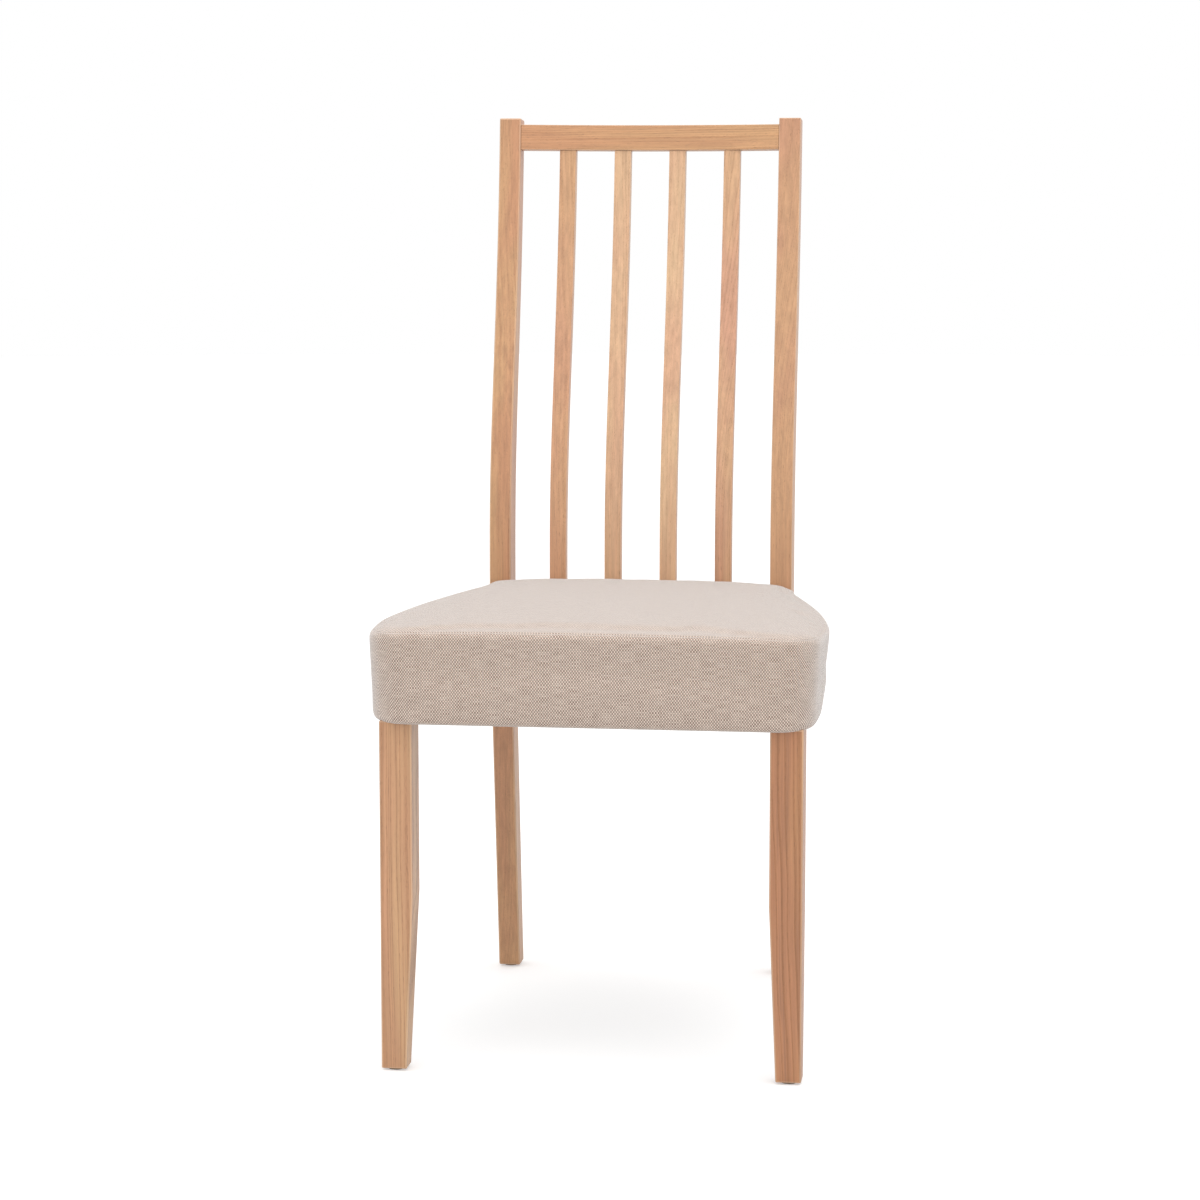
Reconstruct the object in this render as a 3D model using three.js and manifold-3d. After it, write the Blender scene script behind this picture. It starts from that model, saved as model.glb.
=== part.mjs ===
// A high-backed dining chair: an oak frame with curved back posts, a bowed crest rail and four
// slats, and an upholstered seat box bolted between the posts and the tapered front legs.
//
// Millimetres, +Z up. The chair faces -Y, and left and right are as seen from the front, so the
// right-hand side is +X. While it is built, y = 0 is the front of the front legs and z = 0 is the
// floor. At the end the whole chair is moved so that its origin is under the middle of its box.

import * as THREE from "three";
import { mergeVertices } from "three/addons/utils/BufferGeometryUtils.js";
import Module from "manifold-3d";

// ------------------------------------------------------------------ driving dimensions

const FIT = 0.3; // clearance between any two pieces that touch

const HEIGHT = 1040; // floor to the top of the back posts
const FRONT_WIDTH = 460; // over the outsides of the front legs
const BACK_WIDTH = 364; // over the outsides of the back posts
const SEAT_DEPTH = 434.5; // front of the front legs to the front of the back posts
const SEAT_UNDERSIDE = 386;
const SEAT_TOP = 488;

const POST_THICKNESS = 26; // across the chair
const POST_DEPTH_FOOT = 29.5;
const POST_DEPTH_SEAT = 37.5;
const POST_DEPTH_TOP = 27;
const POST_RAKE = 59.5; // how far the foot stands behind the flat that meets the seat
const POST_RECLINE = 88; // how far the top stands behind that flat
const POST_TOP_LEAN = THREE.MathUtils.degToRad(5.3);
const FLAT_BELOW = 61; // the flat starts this far under the seat top
const FLAT_ABOVE = 32; // and ends this far over it
const LOW_PULL = 0.33; // stiffness of the back curve where it leaves the flat
const HIGH_PULL = 0.49; // and where it reaches the top, as shares of the curved height
const BEND = 22; // half-length of the eased bend at the foot of the flat

const LEG_WIDTH = 36;
const LEG_DEPTH = 42;
const LEG_FOOT_WIDTH = 28;
const LEG_FOOT_DEPTH = 27;
const LEG_TAPER_HEIGHT = 195; // the two inner faces taper from here to the floor
const LEG_CORNER = 6; // outer corner planed off inside the upholstery

const CREST_HEIGHT = 30;
const CREST_THICKNESS = 18;
const CREST_BOW = 9; // how far its middle lies behind its ends
const CREST_SETBACK = 1; // behind the fronts of the posts
const CREST_DROP = 7.5; // below the tops of the posts

const SLAT_COUNT = 4;
const SLAT_WIDTH = 19.5;
const SLAT_THICKNESS = 14;
const SLAT_TENON_WIDTH = 13.5;
const SLAT_TENON_THICKNESS = 8;
const SLAT_TENON_LENGTH = 12;

const LOWER_RAIL_THICKNESS = 20;
const LOWER_RAIL_HEIGHT = 66;
const LOWER_RAIL_RISE = 10; // its underside above the seat's underside
const LOWER_RAIL_SETBACK = 0.5;

const POST_TENON_LENGTH = 14; // crest rail and lower rail into the posts
const POST_TENON_THICKNESS = 10;
const POST_TENON_SHOULDER = 5; // above and below each tenon
const LOWER_TENON_HEIGHT = 28;

const RAIL_HEIGHT = 50;
const FRONT_RAIL_THICKNESS = 22;
const SIDE_RAIL_THICKNESS = 24;
const REAR_RAIL_THICKNESS = 22;
const RAIL_TENON_LENGTH = 16;
const REAR_TENON_WALL = 2; // wood between the rear rail's tenons and the bolts
const RAIL_TENON_THICKNESS = 8;
const RAIL_TENON_SHOULDER = 7; // above and below each tenon
const RAIL_REAR_INSET = 8; // side rail inside the post's outer face, at the back

const BLOCK_LENGTH = 74; // along each rail
const BLOCK_HEIGHT = 22;
const BLOCK_RISE = 6; // above the underside of the rails

const DECK_THICKNESS = 9;
const COVER_THICKNESS = 2;
const FRONT_PADDING = 12; // cover and foam in front of the front legs
const SIDE_PADDING = 16; // beside the front legs
const REAR_PADDING = 6; // behind the rear seat rail
const COVER_CORNER = 42; // plan radius of the front corners
const COVER_REAR_CORNER = 14;
const COVER_REAR_OVERHANG = 1; // past the posts' outer faces
const COVER_EDGE = 10; // radius round the top edge
const COVER_LIP = 15; // turned in under the rails
const SIDE_DRAW = 4; // how far each side draws in between the top and the underside
const FOAM_SKIRT_RISE = 10; // the foam's skirts stop this far above the rails' underside
const SIDE_PULL_FRONT = 0.478; // shape of the side curve, as shares of its length
const SIDE_PULL_REAR = 0.12;
const DUST_COVER_THICKNESS = 0.8;

const GLIDE_THICKNESS = 2;
const GLIDE_RADIUS = 9;
const GLIDE_PIN_RADIUS = 1.5;
const GLIDE_PIN_LENGTH = 12;

const BOLT_RADIUS = 3;
const BOLT_HEAD_RADIUS = 7;
const BOLT_HEAD_THICKNESS = 3;
const BOLT_SOCKET_RADIUS = 2.3;
const BOLT_SOCKET_DEPTH = 2;
const BOLT_RECESS = 4; // seat of the bolt head below the back of the post
const BOLT_HEIGHTS = [12, 32]; // above the seat's underside
const NUT_RADIUS = 5;
const NUT_LENGTH = 14;
const NUT_SETBACK = 32; // barrel nut in front of the rear seat rail's back face
const BOLT_TIP = 4; // past the middle of the nut's far wall

const SCREW_RADIUS = 1.8;
const SCREW_HEAD_RADIUS = 3.8;
const SCREW_HEAD_DEPTH = 2.6;
const SCREW_POINT = 5;
const SCREW_SIDES = 10;
const BLOCK_SCREW_LENGTH = 40;
const DECK_SCREW_LENGTH = 25;
const SCREW_BITE = 14; // how far a block screw enters its rail
const BLOCK_SCREW_OFFSET = 46; // from the inner corner of the frame
const DECK_SCREW_INSET = 100; // from the ends of the front and rear rails
const DECK_SCREW_GAP = 40; // side rail screws beyond the corner blocks

// ------------------------------------------------------------------ heights and lines in common

const footZ = GLIDE_THICKNESS + FIT;
const flatLow = SEAT_TOP - FLAT_BELOW;
const flatHigh = SEAT_TOP + FLAT_ABOVE;
const postOuter = BACK_WIDTH / 2;
const postInner = postOuter - POST_THICKNESS;
const legOuter = FRONT_WIDTH / 2;
const legInner = legOuter - LEG_WIDTH;
const railBottom = SEAT_UNDERSIDE + COVER_THICKNESS + FIT;
const railTop = railBottom + RAIL_HEIGHT;
const railBack = SEAT_DEPTH - FIT - REAR_PADDING;
const deckTop = railTop + FIT + DECK_THICKNESS;
const tenonLow = railBottom + RAIL_TENON_SHOULDER;
const tenonHigh = railTop - RAIL_TENON_SHOULDER;
const lowerRailBottom = SEAT_UNDERSIDE + LOWER_RAIL_RISE;
const lowerRailTop = lowerRailBottom + LOWER_RAIL_HEIGHT;

// ------------------------------------------------------------------ geometry helpers

const wasm = await Module();
wasm.setup();

const v2 = (x, y) => new THREE.Vector2(x, y);

// A closed three.js geometry as a solid that can be joined and cut.
function solid(geometry) {
  const bare = geometry.clone();
  bare.deleteAttribute("normal");
  bare.deleteAttribute("uv");
  const merged = mergeVertices(bare, 1e-4);
  return new wasm.Manifold(
    new wasm.Mesh({
      numProp: 3,
      vertProperties: merged.attributes.position.array,
      triVerts: new Uint32Array(merged.index.array),
    }),
  );
}

// A solid back as a flat-shaded three.js geometry.
function geometryOf(body) {
  const { vertProperties, triVerts } = body.getMesh();
  const shared = new THREE.BufferGeometry();
  shared.setAttribute("position", new THREE.BufferAttribute(vertProperties, 3));
  shared.setIndex(new THREE.BufferAttribute(triVerts, 1));
  const geometry = shared.toNonIndexed();
  geometry.computeVertexNormals();
  return geometry;
}

function box(x0, x1, y0, y1, z0, z1) {
  const geometry = new THREE.BoxGeometry(x1 - x0, y1 - y0, z1 - z0);
  geometry.translate((x0 + x1) / 2, (y0 + y1) / 2, (z0 + z1) / 2);
  return geometry;
}

// A round bar between two points.
function rod(radius, start, end, sides = 16) {
  const from = new THREE.Vector3(...start);
  const along = new THREE.Vector3(...end).sub(from);
  const geometry = new THREE.CylinderGeometry(radius, radius, along.length(), sides);
  geometry.translate(0, along.length() / 2, 0);
  const turn = new THREE.Quaternion();
  turn.setFromUnitVectors(new THREE.Vector3(0, 1, 0), along.clone().normalize());
  geometry.applyQuaternion(turn);
  geometry.translate(...from);
  return geometry;
}

function extrude(outline, depth, options = {}) {
  const shape = outline instanceof THREE.Shape ? outline : new THREE.Shape(outline);
  return new THREE.ExtrudeGeometry(shape, { depth, bevelEnabled: false, ...options });
}

// An outline in X and Y, raised from z0 to z1.
function raised(outline, z0, z1) {
  return extrude(outline, z1 - z0).translate(0, 0, z0);
}

// An outline in Y and Z, carried across from x0 to x1.
function carried(outline, x0, x1, curveSegments = 16) {
  const geometry = extrude(outline, x1 - x0, { curveSegments });
  const across = new THREE.Matrix4().makeBasis(
    new THREE.Vector3(0, 1, 0),
    new THREE.Vector3(0, 0, 1),
    new THREE.Vector3(1, 0, 0),
  );
  return geometry.applyMatrix4(across).translate(x0, 0, 0);
}

// An outline in X and Z, carried back from y0 to y1.
function deepened(outline, y0, y1) {
  return extrude(outline, y1 - y0)
    .rotateX(Math.PI / 2)
    .translate(0, y1, 0);
}

// A right-hand outline, listed from front to back, closed with its mirror image.
function bothSides(points) {
  const left = points.map((p) => v2(-p.x, p.y)).reverse();
  return [...points, ...left];
}

function arc(centre, radius, startDegrees, endDegrees, steps) {
  const points = [];
  for (let i = 0; i <= steps; i++) {
    const turn = THREE.MathUtils.degToRad(
      THREE.MathUtils.lerp(startDegrees, endDegrees, i / steps),
    );
    points.push(v2(centre.x + radius * Math.cos(turn), centre.y + radius * Math.sin(turn)));
  }
  return points;
}

// ------------------------------------------------------------------ shared curves

// The right-hand side of the seat in plan, drawing in towards the back posts.
function sideCurve(frontHalf, rearHalf, front, back) {
  const length = back - front;
  return new THREE.CubicBezierCurve(
    v2(frontHalf, front),
    v2(frontHalf, front + SIDE_PULL_FRONT * length),
    v2(rearHalf, back - SIDE_PULL_REAR * length),
    v2(rearHalf, back),
  );
}

const railCurve = sideCurve(legOuter, postOuter - RAIL_REAR_INSET, LEG_DEPTH, railBack);

// Half-width over the side rails at a distance y behind the front.
function railHalf(y) {
  let low = 0;
  let high = 1;
  while (high - low > 1e-6) {
    const middle = (low + high) / 2;
    if (railCurve.getPoint(middle).y < y) low = middle;
    else high = middle;
  }
  return railCurve.getPoint(low).x;
}

const railInner = (y) => railHalf(y) - SIDE_RAIL_THICKNESS;

// The bolts pass through the middle of the wood that a post and the end of a side rail share.
const boltX = (Math.max(postInner, railInner(railBack)) + railHalf(railBack)) / 2;

// The outside of the seat frame in plan, from the front legs to the rear seat rail, or a line
// inside it. Its front corners are planed off by a length.
function frameOutline(grow, planed = LEG_CORNER) {
  const half = [
    v2(legOuter + grow - planed, -grow),
    v2(legOuter + grow, planed - grow),
    ...railCurve.getPoints(9).map((p) => v2(p.x + grow, p.y)),
  ];
  half.at(-1).y += grow;
  return bothSides(half);
}

// The outside of the seat cover in plan, or a line inside it.
function coverOutline(inset) {
  const front = -FRONT_PADDING + inset;
  const back = SEAT_DEPTH - FIT - inset;
  const half = legOuter + SIDE_PADDING - inset;
  const rearHalf = postOuter + COVER_REAR_OVERHANG - inset;
  const corner = COVER_CORNER - inset;
  const rearCorner = Math.max(COVER_REAR_CORNER - inset, 1);
  const side = sideCurve(half, rearHalf, front + corner, back - rearCorner);
  return bothSides([
    ...arc(v2(half - corner, front + corner), corner, -90, 0, 6),
    ...side.getPoints(9).slice(1, -1),
    ...arc(v2(rearHalf - rearCorner, back - rearCorner), rearCorner, 0, 90, 3),
  ]);
}

// The line of the back above the seat, in Y and Z: the front of the posts, or a line behind it
// by one offset where the curve starts and another at the top.
const postAxis = v2(Math.sin(POST_TOP_LEAN), Math.cos(POST_TOP_LEAN));
const postTop = v2(SEAT_DEPTH + POST_RECLINE, HEIGHT);

function backCurve(lowOffset, topOffset) {
  const rise = HEIGHT - flatHigh;
  const start = v2(SEAT_DEPTH + lowOffset, flatHigh);
  const end = v2(
    postTop.x + topOffset * postAxis.y,
    postTop.y - topOffset * postAxis.x,
  );
  return new THREE.CubicBezierCurve(
    start,
    v2(start.x, start.y + LOW_PULL * rise),
    end.clone().addScaledVector(postAxis, -HIGH_PULL * rise),
    end,
  );
}

// The turned frame of the crest rail: its origin is at the top of the posts' front faces, and its
// Z runs up along them.
const crestFrame = new THREE.Matrix4()
  .makeRotationX(-POST_TOP_LEAN)
  .setPosition(0, postTop.x, postTop.y);
const crestUnderside = -CREST_DROP - CREST_HEIGHT;

// ------------------------------------------------------------------ back posts

// One piece from floor to top: a raked leg, a short upright flat for the seat, and an S-curved back.
function postBlank() {
  const front = backCurve(0, 0);
  const back = backCurve(POST_DEPTH_SEAT, POST_DEPTH_TOP);
  const foot = SEAT_DEPTH + POST_RAKE;
  const heel = foot + POST_DEPTH_FOOT;
  const rear = SEAT_DEPTH + POST_DEPTH_SEAT;
  const share = BEND / (flatLow - footZ);
  const ease = (face, footPoint) => v2(face + (footPoint - face) * share, flatLow - BEND);
  const frontEase = ease(SEAT_DEPTH, foot);
  const rearEase = ease(rear, heel);

  const outline = new THREE.Shape();
  outline.moveTo(foot, footZ);
  outline.lineTo(frontEase.x, frontEase.y);
  outline.quadraticCurveTo(SEAT_DEPTH, flatLow, SEAT_DEPTH, flatLow + BEND);
  outline.lineTo(front.v0.x, front.v0.y);
  outline.bezierCurveTo(...front.v1, ...front.v2, ...front.v3);
  outline.lineTo(back.v3.x, back.v3.y);
  outline.bezierCurveTo(...back.v2, ...back.v1, ...back.v0);
  outline.lineTo(rear, flatLow + BEND);
  outline.quadraticCurveTo(rear, flatLow, rearEase.x, rearEase.y);
  outline.lineTo(heel, footZ);
  return carried(outline, postInner, postOuter);
}

// Where the middle of the post's foot stands, in Y.
const footMiddle = SEAT_DEPTH + POST_RAKE + POST_DEPTH_FOOT / 2;

// The crest rail's two tenons, grown by a clearance for their mortises.
function crestTenon(grow) {
  const middle = CREST_SETBACK + CREST_THICKNESS / 2;
  const geometry = box(
    postInner - POST_TENON_THICKNESS,
    postInner + POST_TENON_LENGTH + grow,
    middle - POST_TENON_THICKNESS / 2 - grow,
    middle + POST_TENON_THICKNESS / 2 + grow,
    crestUnderside + POST_TENON_SHOULDER - grow,
    -CREST_DROP - POST_TENON_SHOULDER + grow,
  );
  return geometry.applyMatrix4(crestFrame);
}

function lowerRailTenon(grow) {
  const middle = SEAT_DEPTH + LOWER_RAIL_SETBACK + LOWER_RAIL_THICKNESS / 2;
  const top = lowerRailTop - POST_TENON_SHOULDER;
  return box(
    postInner - POST_TENON_THICKNESS,
    postInner + POST_TENON_LENGTH + grow,
    middle - POST_TENON_THICKNESS / 2 - grow,
    middle + POST_TENON_THICKNESS / 2 + grow,
    top - LOWER_TENON_HEIGHT - grow,
    top + grow,
  );
}

// Where each bolt crosses the back face of the post, and the seat of its head.
const boltHeights = BOLT_HEIGHTS.map((rise) => SEAT_UNDERSIDE + rise);
const boltSeat = SEAT_DEPTH + POST_DEPTH_SEAT - BOLT_RECESS;
const nutY = railBack - NUT_SETBACK;
const nutX = railHalf(nutY) - SIDE_RAIL_THICKNESS / 2;
const boltTip = nutY - BOLT_TIP;

const boltHoles = boltHeights.map((z) =>
  solid(rod(BOLT_RADIUS + FIT, [boltX, boltTip - FIT, z], [boltX, boltSeat + 1, z])),
);
const headRecesses = boltHeights.map((z) =>
  solid(rod(BOLT_HEAD_RADIUS + FIT, [boltX, boltSeat, z], [boltX, boltSeat + POST_DEPTH_SEAT, z])),
);

const glidePin = (x, y) =>
  solid(rod(GLIDE_PIN_RADIUS + FIT, [x, y, 0], [x, y, footZ + GLIDE_PIN_LENGTH], 10));

function makePost() {
  const middle = (postInner + postOuter) / 2;
  const cuts = [
    solid(crestTenon(FIT)),
    solid(lowerRailTenon(FIT)),
    ...boltHoles,
    ...headRecesses,
    glidePin(middle, footMiddle),
  ];
  return cuts.reduce((post, cut) => post.subtract(cut), solid(postBlank()));
}

// ------------------------------------------------------------------ crest rail and lower rail

function crestBody() {
  const half = postInner - FIT;
  const edge = (setback) =>
    new THREE.QuadraticBezierCurve(
      v2(-half, setback),
      v2(0, setback + 2 * CREST_BOW),
      v2(half, setback),
    ).getPoints(12);
  const outline = [
    ...edge(CREST_SETBACK),
    ...edge(CREST_SETBACK + CREST_THICKNESS).reverse(),
  ];
  return raised(outline, crestUnderside, -CREST_DROP).applyMatrix4(crestFrame);
}

// How far the front of the bowed crest rail lies behind the posts, at a distance from the middle.
function crestFrontAt(x) {
  const share = x / (postInner - FIT);
  return CREST_SETBACK + CREST_BOW * (1 - share * share);
}

function makeCrestRail() {
  const tenon = solid(crestTenon(0));
  let rail = solid(crestBody());
  rail = rail.add(tenon).add(tenon.mirror([1, 0, 0]));
  for (let i = 0; i < SLAT_COUNT; i++) rail = rail.subtract(slatTenon(i, FIT));
  return rail;
}

function makeLowerRail() {
  const front = SEAT_DEPTH + LOWER_RAIL_SETBACK;
  const half = postInner - FIT;
  const body = box(
    -half, half, front, front + LOWER_RAIL_THICKNESS, lowerRailBottom, lowerRailTop,
  );
  const tenon = solid(lowerRailTenon(0));
  let rail = solid(body).add(tenon).add(tenon.mirror([1, 0, 0]));
  for (let i = 0; i < SLAT_COUNT; i++) rail = rail.subtract(slatTenon(i, FIT));
  return rail;
}

// ------------------------------------------------------------------ back slats

// The slats share out the width between the posts with equal gaps.
const slatGap = (2 * postInner - SLAT_COUNT * SLAT_WIDTH) / (SLAT_COUNT + 1);
const slatX = (index) =>
  -postInner + slatGap * (index + 1) + SLAT_WIDTH * (index + 0.5);

// A bar of the slat's curve, between two offsets from the line of the posts, from z = low up to a
// height measured in the crest rail's frame.
function slatBar(index, inFront, thickness, width, low, high) {
  const x = slatX(index);
  const lowOffset = LOWER_RAIL_SETBACK + inFront + (LOWER_RAIL_THICKNESS - SLAT_THICKNESS) / 2;
  const topOffset = crestFrontAt(x) + inFront + (CREST_THICKNESS - SLAT_THICKNESS) / 2;
  const front = backCurve(lowOffset, topOffset);
  const back = backCurve(lowOffset + thickness, topOffset + thickness);
  const outline = new THREE.Shape();
  outline.moveTo(front.v0.x, low);
  outline.lineTo(front.v0.x, front.v0.y);
  outline.bezierCurveTo(...front.v1, ...front.v2, ...front.v3);
  outline.lineTo(back.v3.x, back.v3.y);
  outline.bezierCurveTo(...back.v2, ...back.v1, ...back.v0);
  outline.lineTo(back.v0.x, low);
  const bar = solid(carried(outline, x - width / 2, x + width / 2));
  const below = box(-BACK_WIDTH, BACK_WIDTH, -HEIGHT, HEIGHT, -2 * HEIGHT, high);
  return bar.intersect(solid(below.applyMatrix4(crestFrame)));
}

function slatTenon(index, grow) {
  const inFront = (SLAT_THICKNESS - SLAT_TENON_THICKNESS) / 2 - grow;
  return slatBar(
    index,
    inFront,
    SLAT_TENON_THICKNESS + 2 * grow,
    SLAT_TENON_WIDTH + 2 * grow,
    lowerRailTop - SLAT_TENON_LENGTH - grow,
    crestUnderside + SLAT_TENON_LENGTH + grow,
  );
}

function makeSlat(index) {
  const body = slatBar(
    index, 0, SLAT_THICKNESS, SLAT_WIDTH, lowerRailTop + FIT, crestUnderside - FIT,
  );
  return body.add(slatTenon(index, 0));
}

// ------------------------------------------------------------------ front legs

const frontTenon = (grow) => {
  const middle = FRONT_RAIL_THICKNESS / 2;
  const end = legInner + RAIL_TENON_LENGTH + grow;
  return box(
    -end,
    end,
    middle - RAIL_TENON_THICKNESS / 2 - grow,
    middle + RAIL_TENON_THICKNESS / 2 + grow,
    tenonLow - grow,
    tenonHigh + grow,
  );
};

const sideTenon = (grow) => {
  const middle = legOuter - SIDE_RAIL_THICKNESS / 2;
  return box(
    middle - RAIL_TENON_THICKNESS / 2 - grow,
    middle + RAIL_TENON_THICKNESS / 2 + grow,
    LEG_DEPTH - RAIL_TENON_LENGTH - grow,
    LEG_DEPTH + RAIL_TENON_LENGTH,
    tenonLow - grow,
    tenonHigh + grow,
  );
};

// Square above, tapered below on the two faces that look into the chair.
function makeFrontLeg() {
  const fromFront = [
    v2(legOuter, footZ),
    v2(legOuter, railTop),
    v2(legInner, railTop),
    v2(legInner, LEG_TAPER_HEIGHT),
    v2(legOuter - LEG_FOOT_WIDTH, footZ),
  ];
  const fromSide = [
    v2(0, footZ),
    v2(LEG_FOOT_DEPTH, footZ),
    v2(LEG_DEPTH, LEG_TAPER_HEIGHT),
    v2(LEG_DEPTH, railTop),
    v2(0, railTop),
  ];
  const planedCorner = [
    v2(legOuter - LEG_CORNER, -1),
    v2(legOuter + 1, -1),
    v2(legOuter + 1, LEG_CORNER),
    v2(legOuter, LEG_CORNER),
    v2(legOuter - LEG_CORNER, 0),
  ];
  return solid(deepened(fromFront, 0, LEG_DEPTH))
    .intersect(solid(carried(new THREE.Shape(fromSide), legInner - 1, legOuter + 1)))
    .subtract(solid(raised(planedCorner, SEAT_UNDERSIDE + COVER_THICKNESS, railTop + 1)))
    .subtract(solid(frontTenon(FIT)))
    .subtract(solid(sideTenon(FIT)))
    .subtract(glidePin(legOuter - LEG_FOOT_WIDTH / 2, LEG_FOOT_DEPTH / 2));
}

// ------------------------------------------------------------------ seat frame

const rearTenon = (grow) => {
  const middle = railBack - REAR_RAIL_THICKNESS / 2;
  const end = boltX - BOLT_RADIUS - REAR_TENON_WALL + grow;
  return box(
    -end,
    end,
    middle - RAIL_TENON_THICKNESS / 2 - grow,
    middle + RAIL_TENON_THICKNESS / 2 + grow,
    tenonLow - grow,
    tenonHigh + grow,
  );
};

function makeFrontRail() {
  const half = legInner - FIT;
  const body = box(-half, half, 0, FRONT_RAIL_THICKNESS, railBottom, railTop);
  return screwHoles.front.reduce(
    (rail, hole) => rail.subtract(hole),
    solid(body).add(solid(frontTenon(0))),
  );
}

function makeRearRail() {
  const front = railBack - REAR_RAIL_THICKNESS;
  const outline = bothSides([
    v2(railInner(front) - FIT, front),
    v2(railInner(railBack) - FIT, railBack),
  ]);
  return screwHoles.rear.reduce(
    (rail, hole) => rail.subtract(hole),
    solid(raised(outline, railBottom, railTop)).add(solid(rearTenon(0))),
  );
}

// Barrel nuts lie across the side rail, set in from its outer face.
const nutHoles = boltHeights.map((z) =>
  solid(
    rod(NUT_RADIUS + FIT, [nutX - NUT_LENGTH / 2 - FIT, nutY, z], [FRONT_WIDTH, nutY, z], 14),
  ),
);

function makeSideRail() {
  const outer = railCurve.getPoints(9).map((p) => v2(p.x, p.y));
  outer[0].y += FIT;
  const inner = outer.map((p) => v2(p.x - SIDE_RAIL_THICKNESS, p.y)).reverse();
  const body = solid(raised([...outer, ...inner], railBottom, railTop)).add(solid(sideTenon(0)));
  const cuts = [solid(rearTenon(FIT)), ...boltHoles, ...nutHoles, ...screwHoles.side];
  return cuts.reduce((rail, cut) => rail.subtract(cut), body);
}

// ------------------------------------------------------------------ corner blocks and screws

const blockBottom = railBottom + BLOCK_RISE;
const blockTop = blockBottom + BLOCK_HEIGHT;
const blockMiddle = (blockBottom + blockTop) / 2;
const frontRailFace = FRONT_RAIL_THICKNESS + FIT;
const rearRailFace = railBack - REAR_RAIL_THICKNESS - FIT;
const blockCorner = railInner(frontRailFace + BLOCK_LENGTH) - FIT;
const rearCorner = railInner(rearRailFace) - FIT;
const screwStandoff = BLOCK_SCREW_LENGTH - SCREW_BITE;

// Turned pieces are modelled on the Z axis.
function turned(profile, segments) {
  return new THREE.LatheGeometry(profile, segments).rotateX(Math.PI / 2);
}

// A wood screw with its point at the origin and its head up the Z axis.
function screwProfile(length, grow) {
  const neck = length - SCREW_HEAD_DEPTH;
  return [
    v2(0, -grow),
    v2(SCREW_RADIUS + grow, SCREW_POINT),
    v2(SCREW_RADIUS + grow, neck),
    v2(SCREW_HEAD_RADIUS + grow, length),
    v2(0, length + (grow ? BLOCK_LENGTH : 0)),
  ];
}

// Each screw: the rail it enters, the piece it holds, its head's place and the way it points.
const overSideRail = (y) => [railHalf(y) - SIDE_RAIL_THICKNESS / 2, y];
const deckScrews = [
  {
    name: "deck_screw_front",
    rail: "front",
    head: [legInner - DECK_SCREW_INSET, FRONT_RAIL_THICKNESS / 2],
  },
  {
    name: "deck_screw_rear",
    rail: "rear",
    head: [rearCorner - DECK_SCREW_INSET, railBack - REAR_RAIL_THICKNESS / 2],
  },
  {
    name: "deck_screw_side_front",
    rail: "side",
    head: overSideRail(frontRailFace + BLOCK_LENGTH + DECK_SCREW_GAP),
  },
  {
    name: "deck_screw_side_rear",
    rail: "side",
    head: overSideRail(rearRailFace - BLOCK_LENGTH - DECK_SCREW_GAP),
  },
].map((screw) => ({
  ...screw,
  holds: "deck",
  length: DECK_SCREW_LENGTH,
  head: new THREE.Vector3(...screw.head, deckTop),
  points: new THREE.Vector3(0, 0, -1),
}));

const rearScrewY = rearRailFace - BLOCK_SCREW_OFFSET;
const frontScrewY = frontRailFace + BLOCK_SCREW_OFFSET;
const blockScrews = [
  {
    name: "front_block_screw_front",
    rail: "front",
    holds: "frontBlock",
    head: [blockCorner - BLOCK_SCREW_OFFSET, frontRailFace + screwStandoff],
    points: [0, -1, 0],
  },
  {
    name: "front_block_screw_side",
    rail: "side",
    holds: "frontBlock",
    head: [railInner(frontScrewY) - FIT - screwStandoff, frontScrewY],
    points: [1, 0, 0],
  },
  {
    name: "rear_block_screw_rear",
    rail: "rear",
    holds: "rearBlock",
    head: [rearCorner - BLOCK_SCREW_OFFSET, rearRailFace - screwStandoff],
    points: [0, 1, 0],
  },
  {
    name: "rear_block_screw_side",
    rail: "side",
    holds: "rearBlock",
    head: [railInner(rearScrewY) - FIT - screwStandoff, rearScrewY],
    points: [1, 0, 0],
  },
].map((screw) => ({
  ...screw,
  length: BLOCK_SCREW_LENGTH,
  head: new THREE.Vector3(...screw.head, blockMiddle),
  points: new THREE.Vector3(...screw.points),
}));

const screws = [...deckScrews, ...blockScrews];
const upward = new THREE.Vector3(0, 0, 1);

// Turns and moves a screw, modelled point down at the origin, to its place.
function placeScrew(target, screw) {
  target.quaternion.setFromUnitVectors(upward, screw.points.clone().negate());
  target.position.copy(screw.head).addScaledVector(screw.points, screw.length);
}

function screwHole(screw) {
  const geometry = turned(screwProfile(screw.length, FIT), SCREW_SIDES);
  const place = new THREE.Object3D();
  placeScrew(place, screw);
  place.updateMatrix();
  return solid(geometry.applyMatrix4(place.matrix));
}

const screwHoles = { front: [], rear: [], side: [], deck: [], frontBlock: [], rearBlock: [] };
for (const screw of screws) {
  const hole = screwHole(screw);
  screwHoles[screw.holds].push(hole);
  screwHoles[screw.rail].push(hole);
}
for (const rail of ["front", "rear", "deck"]) {
  screwHoles[rail].push(...screwHoles[rail].map((hole) => hole.mirror([1, 0, 0])));
}

// Everything outside the inner faces of the side rail, which the blocks are planed to fit.
function beyondSideRail() {
  const inner = railCurve.getPoints(9).map((p) => v2(p.x - SIDE_RAIL_THICKNESS - FIT, p.y));
  const outline = [...inner, v2(FRONT_WIDTH, railBack), v2(FRONT_WIDTH, LEG_DEPTH)];
  return solid(raised(outline, blockBottom - 1, blockTop + 1));
}

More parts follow.
